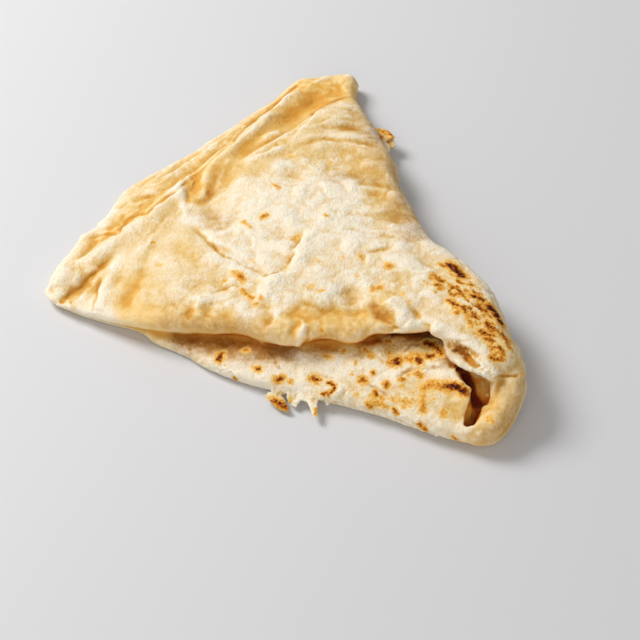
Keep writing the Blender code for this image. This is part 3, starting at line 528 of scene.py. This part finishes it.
# Scorch marks: where a blister touched the griddle it browned, from pale gold freckles to dark
# brown patches. Each mark is its places right and down in the photograph, then its width in
# millimetres and how dark it is.
SCORCHED = {
    "freckles on the top": [
        ([(274, 184), (279, 188)], 2.0, 0.42), ([(262, 217), (266, 215)], 2.4, 0.6),
        ([(243, 221), (250, 227)], 1.8, 0.4), ([(325, 214), (328, 216)], 1.8, 0.45),
        ([(331, 163)], 2.0, 0.35), ([(287, 155), (293, 157)], 2.0, 0.3),
        ([(293, 239), (298, 235)], 2.0, 0.45),
        ([(239, 275), (243, 280)], 2.8, 0.56), ([(233, 273), (236, 276)], 2.2, 0.42),
        ([(225, 281)], 2.0, 0.35), ([(243, 291), (252, 298)], 2.0, 0.52), ([(261, 298)], 1.7, 0.62),
        ([(253, 305), (257, 304)], 1.6, 0.4), ([(251, 259), (254, 262)], 1.6, 0.3),
        ([(157, 266), (162, 266)], 2.0, 0.35), ([(308, 287), (313, 285)], 1.8, 0.3),
        ([(317, 292), (323, 290)], 1.8, 0.32), ([(321, 328), (323, 331)], 1.8, 0.5),
        ([(352, 170)], 1.6, 0.68), ([(387, 265), (391, 267)], 2.8, 0.42),
        ([(373, 289), (380, 287)], 3.0, 0.46), ([(403, 294)], 2.4, 0.3), ([(410, 302)], 2.2, 0.3),
        ([(362, 316)], 2.0, 0.45), ([(357, 276)], 2.6, 0.25), ([(360, 255), (362, 259)], 2.0, 0.36),
        ([(388, 323)], 1.8, 0.4), ([(372, 209)], 2.2, 0.25), ([(342, 257)], 2.4, 0.25),
        ([(318, 261)], 2.4, 0.22), ([(325, 276)], 2.0, 0.2), ([(332, 281)], 2.0, 0.2),
        ([(153, 243)], 1.0, 0.95), ([(142, 244)], 0.9, 0.6), ([(186, 205)], 0.9, 0.7),
        ([(261, 341)], 1.1, 0.85),
    ],
    "patches on the apex": [
        ([(450, 265), (456, 270), (462, 276)], 3.6, 1.0), ([(436, 277), (442, 281)], 2.6, 0.72),
        ([(437, 284), (441, 287)], 2.4, 0.7), ([(432, 275)], 2.4, 0.5),
        ([(449, 290), (452, 287), (458, 288), (460, 292), (455, 295), (450, 293)], 1.3, 0.85),
        ([(448, 300), (454, 303), (458, 305)], 1.6, 0.95), ([(462, 306), (470, 308)], 1.6, 0.9),
        ([(463, 309), (467, 313)], 1.6, 0.8), ([(472, 295), (483, 300)], 2.2, 0.9),
        ([(465, 290), (470, 293)], 1.6, 0.6), ([(457, 280), (464, 284)], 1.6, 0.7),
        ([(473, 313), (477, 318)], 2.0, 0.85), ([(468, 318), (473, 326)], 2.4, 0.5),
        ([(490, 307), (496, 313), (501, 322)], 3.4, 1.0), ([(487, 322), (493, 330)], 2.4, 0.9),
        ([(480, 331), (490, 335)], 2.0, 0.85), ([(485, 338), (490, 340)], 1.8, 0.8),
        ([(503, 333), (508, 343)], 1.6, 0.9), ([(478, 304), (486, 312)], 1.8, 0.75),
        ([(455, 312), (461, 311)], 2.0, 0.55), ([(498, 330), (503, 338)], 1.8, 0.6),
        ([(492, 348), (498, 347), (503, 351), (503, 357), (496, 360), (491, 357)], 1.7, 0.8),
        ([(497, 353)], 3.0, 0.55), ([(489, 346)], 1.6, 0.5),
    ],
    "spots on the lower flap": [
        ([(221, 354), (219, 359)], 2.4, 0.92), ([(224, 353)], 1.8, 0.45), ([(246, 350)], 2.2, 0.75),
        ([(253, 366)], 1.8, 0.4), ([(258, 369)], 2.3, 0.88), ([(225, 365)], 1.2, 0.4),
        ([(235, 379)], 1.8, 0.75), ([(277, 380), (281, 378)], 2.6, 0.78), ([(290, 381)], 2.8, 0.38),
        ([(313, 378), (317, 379)], 2.8, 0.85),
        ([(328, 382), (334, 385), (334, 390), (329, 394), (323, 393)], 1.3, 0.95),
        ([(326, 355), (330, 357)], 2.6, 0.42), ([(344, 351)], 1.8, 0.6), ([(352, 373)], 2.2, 0.3),
        ([(356, 361), (355, 364)], 1.0, 0.8), ([(365, 350), (372, 355)], 2.8, 0.5),
        ([(362, 379), (365, 381)], 2.4, 0.9), ([(373, 373)], 2.0, 0.75),
        ([(386, 383), (387, 386)], 2.0, 0.85),
        ([(388, 341)], 2.6, 0.7), ([(389, 353)], 1.8, 0.6), ([(388, 363), (392, 364)], 2.4, 0.55),
        ([(397, 360), (397, 363)], 2.6, 0.95), ([(399, 357), (403, 360)], 3.0, 0.45),
        ([(407, 358), (412, 360)], 2.4, 0.62), ([(418, 359), (420, 361)], 2.6, 0.95),
        ([(412, 354), (422, 355)], 3.0, 0.42), ([(428, 356), (432, 356)], 2.4, 0.9),
        # The first mark on this line lies in the gap under the lip's right end: a scorch mark and partly
        # painted shade of that gap.
        ([(427, 343), (431, 344)], 3.2, 1.0), ([(417, 373), (420, 376)], 2.6, 0.62),
        ([(408, 373)], 2.2, 0.4), ([(400, 380), (404, 379)], 1.8, 0.6), ([(402, 386)], 2.6, 0.36),
        ([(375, 391), (376, 395)], 1.8, 0.8), ([(368, 403), (370, 406)], 2.2, 0.68),
        ([(357, 395)], 2.4, 0.35), ([(373, 402), (385, 406)], 3.0, 0.42), ([(382, 398)], 2.2, 0.5),
        ([(394, 408), (396, 413)], 1.8, 0.72), ([(400, 400), (404, 405)], 3.0, 0.36),
        ([(424, 388), (430, 384), (437, 385)], 4.0, 0.5), ([(441, 386), (450, 388)], 3.2, 0.62),
        ([(448, 386), (457, 387), (466, 392)], 3.0, 1.0), ([(423, 397), (423, 410)], 3.2, 0.45),
        ([(443, 410), (446, 413), (443, 416), (441, 413)], 1.4, 0.55), ([(402, 401), (410, 401)], 2.4, 0.4),
        ([(420, 426), (425, 430)], 2.4, 0.7), ([(454, 438), (457, 440)], 2.0, 0.65),
        # The last mark on this line lies in that gap too: a scorch mark and partly painted shade.
        ([(434, 399)], 2.4, 0.3), ([(412, 392)], 2.8, 0.3), ([(436, 347), (441, 352)], 3.0, 0.8),
    ],
    "marks on the rim": [([(489, 418), (491, 421)], 2.6, 0.4), ([(483, 411)], 1.6, 0.5),
                         ([(522, 374)], 1.4, 0.5), ([(494, 405)], 2.4, 0.25)],
    "brown flake": [([(274, 401), (280, 404), (285, 407)], 3.4, 0.74),
                    ([(267, 397), (271, 398)], 2.4, 0.35)],
    "tips of the torn flakes": [([(291, 398), (290, 401)], 1.8, 0.4), ([(316, 409), (316, 414)], 1.3, 0.6),
                                ([(379, 130), (386, 132), (393, 136)], 1.8, 0.66)],
}
GRIDDLED = [([(449, 270), (470, 290), (487, 312), (498, 334), (500, 350)], 13.0, 1.0),
            ([(432, 282), (450, 296), (468, 316), (482, 334)], 8.0, 0.7),
            ([(385, 356), (410, 358), (432, 352), (440, 345)], 7.0, 0.55),
            ([(424, 386), (450, 388)], 7.0, 0.5), ([(372, 400), (400, 402), (424, 404)], 8.0, 0.45)]
MARKS_WAVER = (0.7, 1.3)
# A mark is a soft halo round a dark heart: how strong, how wide and how steep each is.
HALO = (0.45, 0.95, 1.5)
HEART = (0.55, 0.46, 2)
SCORCH_UNEVEN = (1.05, 0.6, 0.9)
# The griddled patches are blotches drawn out along the folds.
GRIDDLED_WIDTH = 0.5
DRAWN_ALONG = Vector((0.86, -0.5, 0))
DRAWN_OUT = 0.6
BLOTCH_WIDTH = 1.6
BLOTCHES_SHOW = (0.05, 0.6)
BETWEEN_BLOTCHES = 0.16
BLOTCHES_ADD = 0.6


def away_from_mark(points, places, reach):
    """Each point's distance from the places of a mark, up to a reach."""
    line = line_on_bread(places)
    if len(line) == 0:
        return np.full(len(points), FAR)
    if len(line) == 1:
        line = np.vstack([line, line + 0.01])
    return away_from_line(points, line, reach)[0]


def keep_on_surface(piece, name, values):
    """Store a number for each corner of a mesh, for its material."""
    layer = piece.data.attributes.new(name, "FLOAT", "POINT")
    layer.data.foreach_set("value", values.astype(np.float32))


points = corners_of(bread)
ragged = wavered(points, *MARKS_WAVER)
scorch = np.zeros(len(points))
for marks in SCORCHED.values():
    for places, width, dark in marks:
        gap = away_from_mark(ragged, places, 3 * width) / width
        mark = sum(strong * np.exp(-(gap / wide) ** steep) for strong, wide, steep in (HALO, HEART))
        scorch = np.maximum(scorch, dark * mark)
scorch *= SCORCH_UNEVEN[0] + SCORCH_UNEVEN[1] * rough(points, SCORCH_UNEVEN[2], 2)
griddled = np.zeros(len(points))
for places, width, dark in GRIDDLED:
    gap = away_from_mark(ragged, places, 2 * width) / width
    griddled = np.maximum(griddled, dark * np.exp(-(gap / GRIDDLED_WIDTH) ** 3))
blotches = np.zeros(len(points))
for index in np.flatnonzero(griddled > 0.05):
    spot = Vector(points[index])
    spot -= DRAWN_ALONG * (spot.dot(DRAWN_ALONG) * DRAWN_OUT)
    blotches[index] = noise.fractal(spot / BLOTCH_WIDTH, 0.8, 2.0, 3)
blotchy = BETWEEN_BLOTCHES + BLOTCHES_ADD * from_to(blotches, BLOTCHES_SHOW)
keep_on_surface(bread, "scorch", np.maximum(scorch, griddled * blotchy))

# Painted shade: tan where the surface turns away from the lamp, lies close under a fold or sinks into a
# crack. Each is its places in the photograph, how wide it is in millimetres and how strong.
PAINTED_SHADE_PLACES = [
    ([(180, 340), (205, 346), (235, 350), (262, 352), (288, 353)], 4.8, 1.0),
    ([(300, 350), (325, 350)], 3.0, 0.4), ([(425, 338), (440, 345), (448, 360)], 4.0, 0.9),
    ([(362, 108), (372, 128), (384, 152), (396, 176), (405, 205), (414, 228)], 9.0, 0.58),
    ([(370, 304), (380, 312), (388, 322)], 4.0, 0.4), ([(208, 212), (218, 218), (226, 220)], 5.0, 0.35),
    ([(216, 222), (216, 232)], 4.0, 0.3), ([(222, 165), (214, 185), (208, 200)], 4.0, 0.3),
    ([(454, 350), (462, 352)], 2.2, 0.8), ([(336, 178), (354, 176), (374, 180)], 6.0, 0.35),
    ([(524, 385), (518, 405), (505, 425), (488, 438)], 7.0, 0.6), ([(500, 385), (508, 400)], 5.0, 0.35),
    ([(352, 96), (338, 100), (324, 108)], 3.5, 0.5), ([(300, 306), (322, 312)], 5.0, 0.25),
    ([(165, 320), (200, 325), (240, 326), (270, 332)], 5.0, 0.52), ([(320, 336), (372, 336)], 4.5, 0.45),
    ([(205, 353), (228, 359), (250, 361), (270, 360)], 5.0, 0.3),
    ([(398, 378), (404, 372), (414, 369), (428, 368), (440, 366)], 0.7, 0.9),
    ([(404, 352), (409, 347), (416, 344), (424, 343)], 0.6, 0.9),
    ([(362, 384), (374, 386), (382, 391), (388, 399)], 0.6, 0.9),
    ([(268, 348), (273, 357), (279, 368)], 0.6, 0.8), ([(274, 347), (277, 358), (276, 366)], 0.5, 0.6),
]
toasted = np.zeros(len(points))
for places, width, strength in PAINTED_SHADE_PLACES:
    gap = away_from_mark(ragged, places, 2.5 * width)
    toasted = np.maximum(toasted, strength * np.exp(-(gap / width) ** 2))
keep_on_surface(bread, "toasted", toasted)

# Painted shade: hollows of the surface are tinted golden and tan and its crowns stay pale, and closed-in
# places are darkened to brown. How hollow each place is comes from how far it lies under the evened surface
# round it, and how closed in it is from how much of the open air over it the rest of the bread hides.
EVEN_OUT = 10
EVEN_OUT_BROADLY = 70
DENT_LIMITS = (-0.5, 1.2)
LOOKS_ROUND = 14
LOOKS_OUTWARD = 1.05
LOOKS_FROM = 0.4 * MM
SHELTER_REACH = 22 * MM
SHELTER_SOFTENING = 3
# Inside the mouth and beside the pleat, how much more or less shade is painted than that: a dark painted
# shadow along the gap inside the mouth, and less painted shade on its inner wall and beside the pleat.
PAINTED_SHADE_INSIDE = [([(477, 374), (484, 379), (485, 388)], 3.5, -0.6),
               ([(463, 370), (468, 381), (472, 393), (475, 404)], 2.0, 0.8),
               ([(470, 412), (468, 420)], 2.2, -0.5), ([(478, 400), (474, 408)], 2.0, 0.25),
               ([(188, 184), (190, 192), (191, 202)], 2.4, -0.5)]

smooth_places = evened_out(bread, points, EVEN_OUT)
facing = outwards_of(bread)
keep_on_surface(bread, "hollow", ((smooth_places - points) * facing).sum(1))
smooth_places = evened_out(bread, smooth_places, EVEN_OUT_BROADLY)
keep_on_surface(bread, "dent", np.clip(((smooth_places - points) * facing).sum(1), *DENT_LIMITS))
raised_bread = bvhtree.BVHTree.FromObject(bread, bpy.context.evaluated_depsgraph_get())
looks = np.random.default_rng(5).normal(size=(LOOKS_ROUND, 3))
looks /= np.linalg.norm(looks, axis=1)[:, None]
sheltered = np.zeros(len(points))
off_the_base = (points[:, 2] > 0.3) | (facing[:, 2] > -0.5)
for index in np.flatnonzero(off_the_base):
    outward = Vector(facing[index])
    start = Vector(points[index]) * MM + outward * LOOKS_FROM
    for look in looks:
        aim = (outward * LOOKS_OUTWARD + Vector(look)).normalized()
        if raised_bread.ray_cast(start, aim, SHELTER_REACH)[0] is not None:
            sheltered[index] += 1 / LOOKS_ROUND
sheltered = evened_out(bread, sheltered[:, None], SHELTER_SOFTENING)[:, 0]
for places, width, more in PAINTED_SHADE_INSIDE:
    gap = away_from_mark(points, places, 2.5 * width)
    sheltered += more * np.exp(-(gap / width) ** 2)
keep_on_surface(bread, "sheltered", np.clip(sheltered, 0, 1))

# How golden the dough is, 0 where it is dry and floury and 1 where it is thin and moist, at places right
# and down in the photograph. On the lip and its underside, the notch above it, the flap's shaded left, the
# right side, the amber hollow and the foot of the mouth the gold is partly painted warm shade.
GOLDEN = {
    "yellow sheet at the top corner": (0.9, [(315, 92), (325, 104), (305, 104), (292, 112), (338, 95),
                                             (350, 84), (350, 92), (328, 88)]),
    "its far rim": (0.6, [(300, 80), (330, 79), (298, 120), (285, 104)]),
    "outer strip, upper part": (0.6, [(275, 98), (250, 118), (225, 138), (200, 154), (180, 168),
                                      (262, 122), (240, 138), (270, 128)]),
    "outer strip, lower part": (0.65, [(160, 186), (145, 200), (128, 208), (118, 224), (88, 243)]),
    "deep in the strip's fold": (0.95, [(70, 257), (92, 243), (110, 234), (125, 223), (146, 211),
                                        (163, 197), (186, 181)]),
    "strip's outer edge": (0.4, [(150, 190), (125, 205), (100, 222), (80, 243), (64, 262), (175, 170),
                                 (205, 148), (232, 128), (262, 105)]),
    "pale crumples on the strip": (0.1, [(105, 219), (98, 228), (94, 236), (112, 214), (84, 246)]),
    "second strip": (0.7, [(228, 153), (212, 165), (247, 150), (215, 178)]),
    "ridge": (0.38, [(60, 282), (85, 258), (110, 242), (135, 224), (158, 206), (178, 192), (185, 210)]),
    "white pleat": (-0.1, [(180, 182), (183, 194), (185, 208), (187, 220), (204, 238)]),
    "tail valley": (0.65, [(76, 289), (66, 297), (90, 279), (72, 300), (100, 270)]),
    "tail": (0.2, [(85, 300), (105, 290), (104, 308), (56, 292), (112, 262)]),
    "yellow dip": (0.8, [(130, 300), (134, 285), (140, 312), (128, 312)]),
    "amber patch": (0.55, [(178, 246), (188, 241), (184, 254), (197, 252), (190, 232), (162, 226)]),
    "round the amber patch": (0.25, [(204, 244), (212, 256), (166, 258), (172, 236), (178, 266)]),
    "amber hollow": (0.95, [(195, 192), (192, 203), (199, 183), (189, 185), (190, 196)]),
    "pale bit of the outer flakes": (0.15, [(383, 141), (392, 143), (378, 138)]),
    "left swell": (0.4, [(155, 278), (150, 298), (175, 300), (150, 228), (165, 222), (215, 200),
                         (205, 272), (222, 290), (180, 280)]),
    "middle, dry": (0.0, [(265, 200), (300, 190), (260, 225), (285, 240), (330, 200), (255, 250),
                          (240, 262), (345, 190), (320, 235), (350, 228)]),
    "middle, softer": (0.15, [(300, 262), (340, 262), (290, 290), (370, 280), (400, 262), (280, 170),
                              (245, 190), (250, 285), (330, 290), (355, 300), (420, 265), (425, 290)]),
    "upper top": (0.5, [(300, 150), (330, 150), (340, 115), (320, 125), (300, 138), (352, 120),
                        (270, 158), (360, 135)]),
    "right side": (0.68, [(385, 165), (378, 180), (390, 190), (405, 215), (372, 140), (366, 122)]),
    "above the apex": (0.25, [(418, 245), (410, 232), (425, 255)]),
    "above the lip": (0.1, [(245, 308), (215, 300), (275, 304)]),
    "lip": (0.92, [(165, 318), (190, 322), (230, 322), (262, 330), (290, 335), (150, 318), (210, 326)]),
    "lip's middle": (0.95, [(320, 337), (350, 338), (380, 334), (335, 322), (300, 318), (360, 326)]),
    "lip's underside": (0.95, [(200, 335), (250, 342), (330, 343), (370, 343)]),
    "notch above the lip": (0.85, [(376, 308), (386, 318), (392, 327)]),
    "puffs by the notch": (0.2, [(400, 312), (415, 318), (436, 325), (408, 328)]),
    "apex top": (0.3, [(440, 300), (450, 320), (460, 330), (480, 350), (470, 345)]),
    "flap's shaded left": (0.4, [(180, 343), (205, 353), (200, 345), (235, 352)]),
    "flap, dry": (-0.1, [(230, 370), (255, 378), (275, 370), (300, 365), (330, 368), (350, 365),
                         (375, 365), (380, 377), (440, 372), (420, 365), (290, 390), (315, 360),
                         (345, 358), (310, 372), (285, 362)]),
    "flap, golden": (0.35, [(320, 395), (350, 390), (400, 392), (430, 395), (410, 410), (440, 425),
                            (380, 405), (460, 430), (390, 350)]),
    "rim": (0.8, [(500, 392), (512, 384), (516, 400), (492, 425), (476, 440), (522, 380), (506, 412)]),
    "rim's torn start": (0.4, [(490, 365), (478, 352), (500, 370), (460, 345)]),
    "inner wall of the mouth": (0.3, [(477, 374), (482, 382), (484, 390)]),
    "foot of the mouth": (1.0, [(468, 412), (470, 420)]),
}
GOLDEN_REACH = 3
weights = np.zeros(len(points))
golden = np.zeros(len(points))
for amount, places in GOLDEN.values():
    for right, down in places:
        found = on_bread(right, down)
        if found is not None:
            weight = 1 / (((points - found) ** 2).sum(1) + GOLDEN_REACH ** 2) ** 2
            weights += weight
            golden += weight * amount
keep_on_surface(bread, "golden", golden / weights)

# With its marks stored, the mesh is thinned where it is flat, above all on the underside.
TRIANGLES = 192000
bread.data.calc_loop_triangles()
thinned = bread.modifiers.new("thinned", "DECIMATE")
thinned.ratio = TRIANGLES / len(bread.data.loop_triangles)
bpy.ops.object.modifier_apply(modifier="thinned")


# The bread's finish: matt baked dough, cream where it is dry and golden where it is thin, with painted
# shade that tints hollows and dents golden and tan and closed-in places brown, and the scorch marks going
# from gold through brown to near black.
def shown(red, green, blue):
    """A colour as it is seen on a screen, 0 to 255, as light."""
    return tuple(((part / 255 + 0.055) / 1.055) ** 2.4 for part in (red, green, blue)) + (1.0,)


class Finish:
    """A material, whose nodes are added one by one."""

    def __init__(self, name):
        self.material = bpy.data.materials.new(name)
        self.material.use_nodes = True
        self.tree = self.material.node_tree
        self.shader = self.tree.nodes["Principled BSDF"]

    def node(self, kind, settings=None, sockets=None, output=0):
        """Add a node: its settings first, then its sockets' values or links."""
        added = self.tree.nodes.new("ShaderNode" + kind)
        for name, value in (settings or {}).items():
            if name == "stops":
                stops = added.color_ramp.elements
                while len(stops) < len(value):
                    stops.new(1.0)
                for stop, (at, colour) in zip(stops, value):
                    stop.position = at
                    stop.color = colour
            else:
                setattr(added, name, value)
        for name, value in (sockets or {}).items():
            self.plug(added.inputs[name], value)
        return Value(self, added.outputs[output])

    def plug(self, socket, value):
        """Give a socket a link or a plain value."""
        if isinstance(value, Value):
            self.tree.links.new(value.socket, socket)
        else:
            socket.default_value = value

    def blend(self, first, second, factor, how="MIX"):
        """Two colours blended."""
        return self.node("Mix", {"data_type": "RGBA", "blend_type": how},
                         {0: factor, 6: first, 7: second}, 2)


class Value:
    """A socket that gives a number. Sums and products with it add Math nodes."""

    def __init__(self, finish, socket):
        self.finish = finish
        self.socket = socket

    def math(self, operation, first, second):
        return self.finish.node("Math", {"operation": operation}, {0: first, 1: second})

    def __add__(self, other):
        return self.math("ADD", self, other)

    def __radd__(self, other):
        return self.math("ADD", other, self)

    def __sub__(self, other):
        return self.math("SUBTRACT", self, other)

    def __rsub__(self, other):
        return self.math("SUBTRACT", other, self)

    def __mul__(self, other):
        return self.math("MULTIPLY", self, other)

    def between(self, low, high):
        """0 at low, 1 at high, and held there beyond."""
        return self.finish.node("MapRange", {"interpolation_type": "SMOOTHSTEP"},
                                {0: self, 1: low, 2: high})


dough = Finish("baked dough")
where = dough.node("TexCoord", output="Object")


def stored(name):
    """A number kept on the surface."""
    return dough.node("Attribute", {"attribute_name": name}, output="Fac")


def noisy(scale, detail, roughness=0.6, distortion=0.0):
    """Soft noise, as often under nothing as over it."""
    return dough.node("TexNoise", None, {"Vector": where, "Scale": scale, "Detail": detail,
                                         "Roughness": roughness, "Distortion": distortion}) - 0.5


def ramp(value, *colours):
    """The colours that a value goes through, each from where it stands."""
    return dough.node("ValToRGB", {"stops": [(at, shown(*colour)) for at, *colour in colours]},
                      {"Fac": value})


scorched, deep, gold, closed_in_shade, tan_shade, dent = (
    stored(name) for name in ("scorch", "hollow", "golden", "sheltered", "toasted", "dent"))
cloudy = noisy(75.0, 2.0, 0.5, 0.6)
mottle = noisy(190.0, 4.0)
speckle = noisy(900.0, 3.0)
fine = noisy(2000.0, 2.0)
floury = 1 - gold.between(0.45, 0.95) * 0.6
# Hollows and broad dents are pushed towards gold here: painted warm shade.
dough_colour = ramp(gold + cloudy * 0.5 + mottle * 0.45 + deep * 0.9 + dent * 0.3
                    + (speckle * 0.35 + fine * 0.4) * floury,
                    (0.0, 250, 236, 212), (0.25, 245, 222, 182), (0.5, 237, 205, 145),
                    (0.75, 228, 186, 108), (1.0, 222, 166, 74))
# Painted shade: the colour turns darker and browner the more closed in each place is.
shaded = ramp(closed_in_shade, (0.0, 255, 255, 255), (0.3, 255, 246, 224), (0.55, 248, 218, 160),
              (0.75, 220, 156, 84), (1.0, 124, 56, 20))
browned = ramp(scorched + speckle * 0.4 + fine * 0.3,
               (0.0, 252, 218, 150), (0.3, 241, 188, 90), (0.55, 208, 130, 28), (0.8, 128, 54, 0),
               (1.0, 60, 14, 0))
colour = dough.blend(dough_colour, shaded, 1.0, "MULTIPLY")
# The listed tan places and the broad dents are darkened to tan here: painted shade.
shade_tinted = dough.blend(colour, shown(192, 160, 120), 1.0, "MULTIPLY")
colour = dough.blend(colour, shade_tinted, (tan_shade + speckle * tan_shade + dent * 0.25).between(-0.1, 1.1))
colour = dough.blend(colour, browned, (scorched + speckle * 0.16).between(0.03, 0.3))
relief = dough.node("Bump", None, {"Strength": 1.0, "Distance": MM,
                                   "Height": (speckle * 0.8 + fine * 0.5) * floury})
for socket, value in {"Base Color": colour, "Roughness": 0.605 + mottle * 0.25 + scorched * 0.1,
                      "Normal": relief, "Specular IOR Level": 0.15, "Subsurface Weight": 0.3,
                      "Subsurface Radius": (1.0, 0.7, 0.35), "Subsurface Scale": 2.2 * MM}.items():
    dough.plug(dough.shader.inputs[socket], value)
bread.data.materials.append(dough.material)
bpy.ops.object.shade_smooth()
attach(bread, "root")
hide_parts("roti")

# The place it is shown in: a plain pale floor just under the bread, a soft lamp up on the left,
# a larger and weaker one low in front, and even light from all round.
FLOOR_SIDE = 6
FLOOR_HEIGHT = -0.2 * MM
LAMPS = {"soft_lamp": ((-0.86, 0.12, 0.86), 0.5, 13.2), "soft_fill": ((0.35, -1.3, 0.5), 1.2, 6.5)}

bpy.ops.mesh.primitive_plane_add(size=FLOOR_SIDE, location=(0, 0, FLOOR_HEIGHT))
floor = bpy.context.object
floor.name = "floor"
pale = Finish("pale floor")
pale.shader.inputs["Base Color"].default_value = shown(208, 207, 208)
pale.shader.inputs["Roughness"].default_value = 0.6
floor.data.materials.append(pale.material)

for name, (stands, size, energy) in LAMPS.items():
    bpy.ops.object.light_add(type="AREA", location=stands)
    lamp = bpy.context.object
    lamp.name = name
    lamp.data.size = size
    lamp.data.energy = energy
    lamp.rotation_euler = (-lamp.location).to_track_quat("-Z", "Y").to_euler()
world = bpy.data.worlds.new("even light")
world.use_nodes = True
world.node_tree.nodes["Background"].inputs["Color"].default_value = (1.0, 1.0, 1.0, 1.0)
world.node_tree.nodes["Background"].inputs["Strength"].default_value = 0.41
bpy.context.scene.world = world
bpy.context.scene.view_settings.view_transform = "Standard"
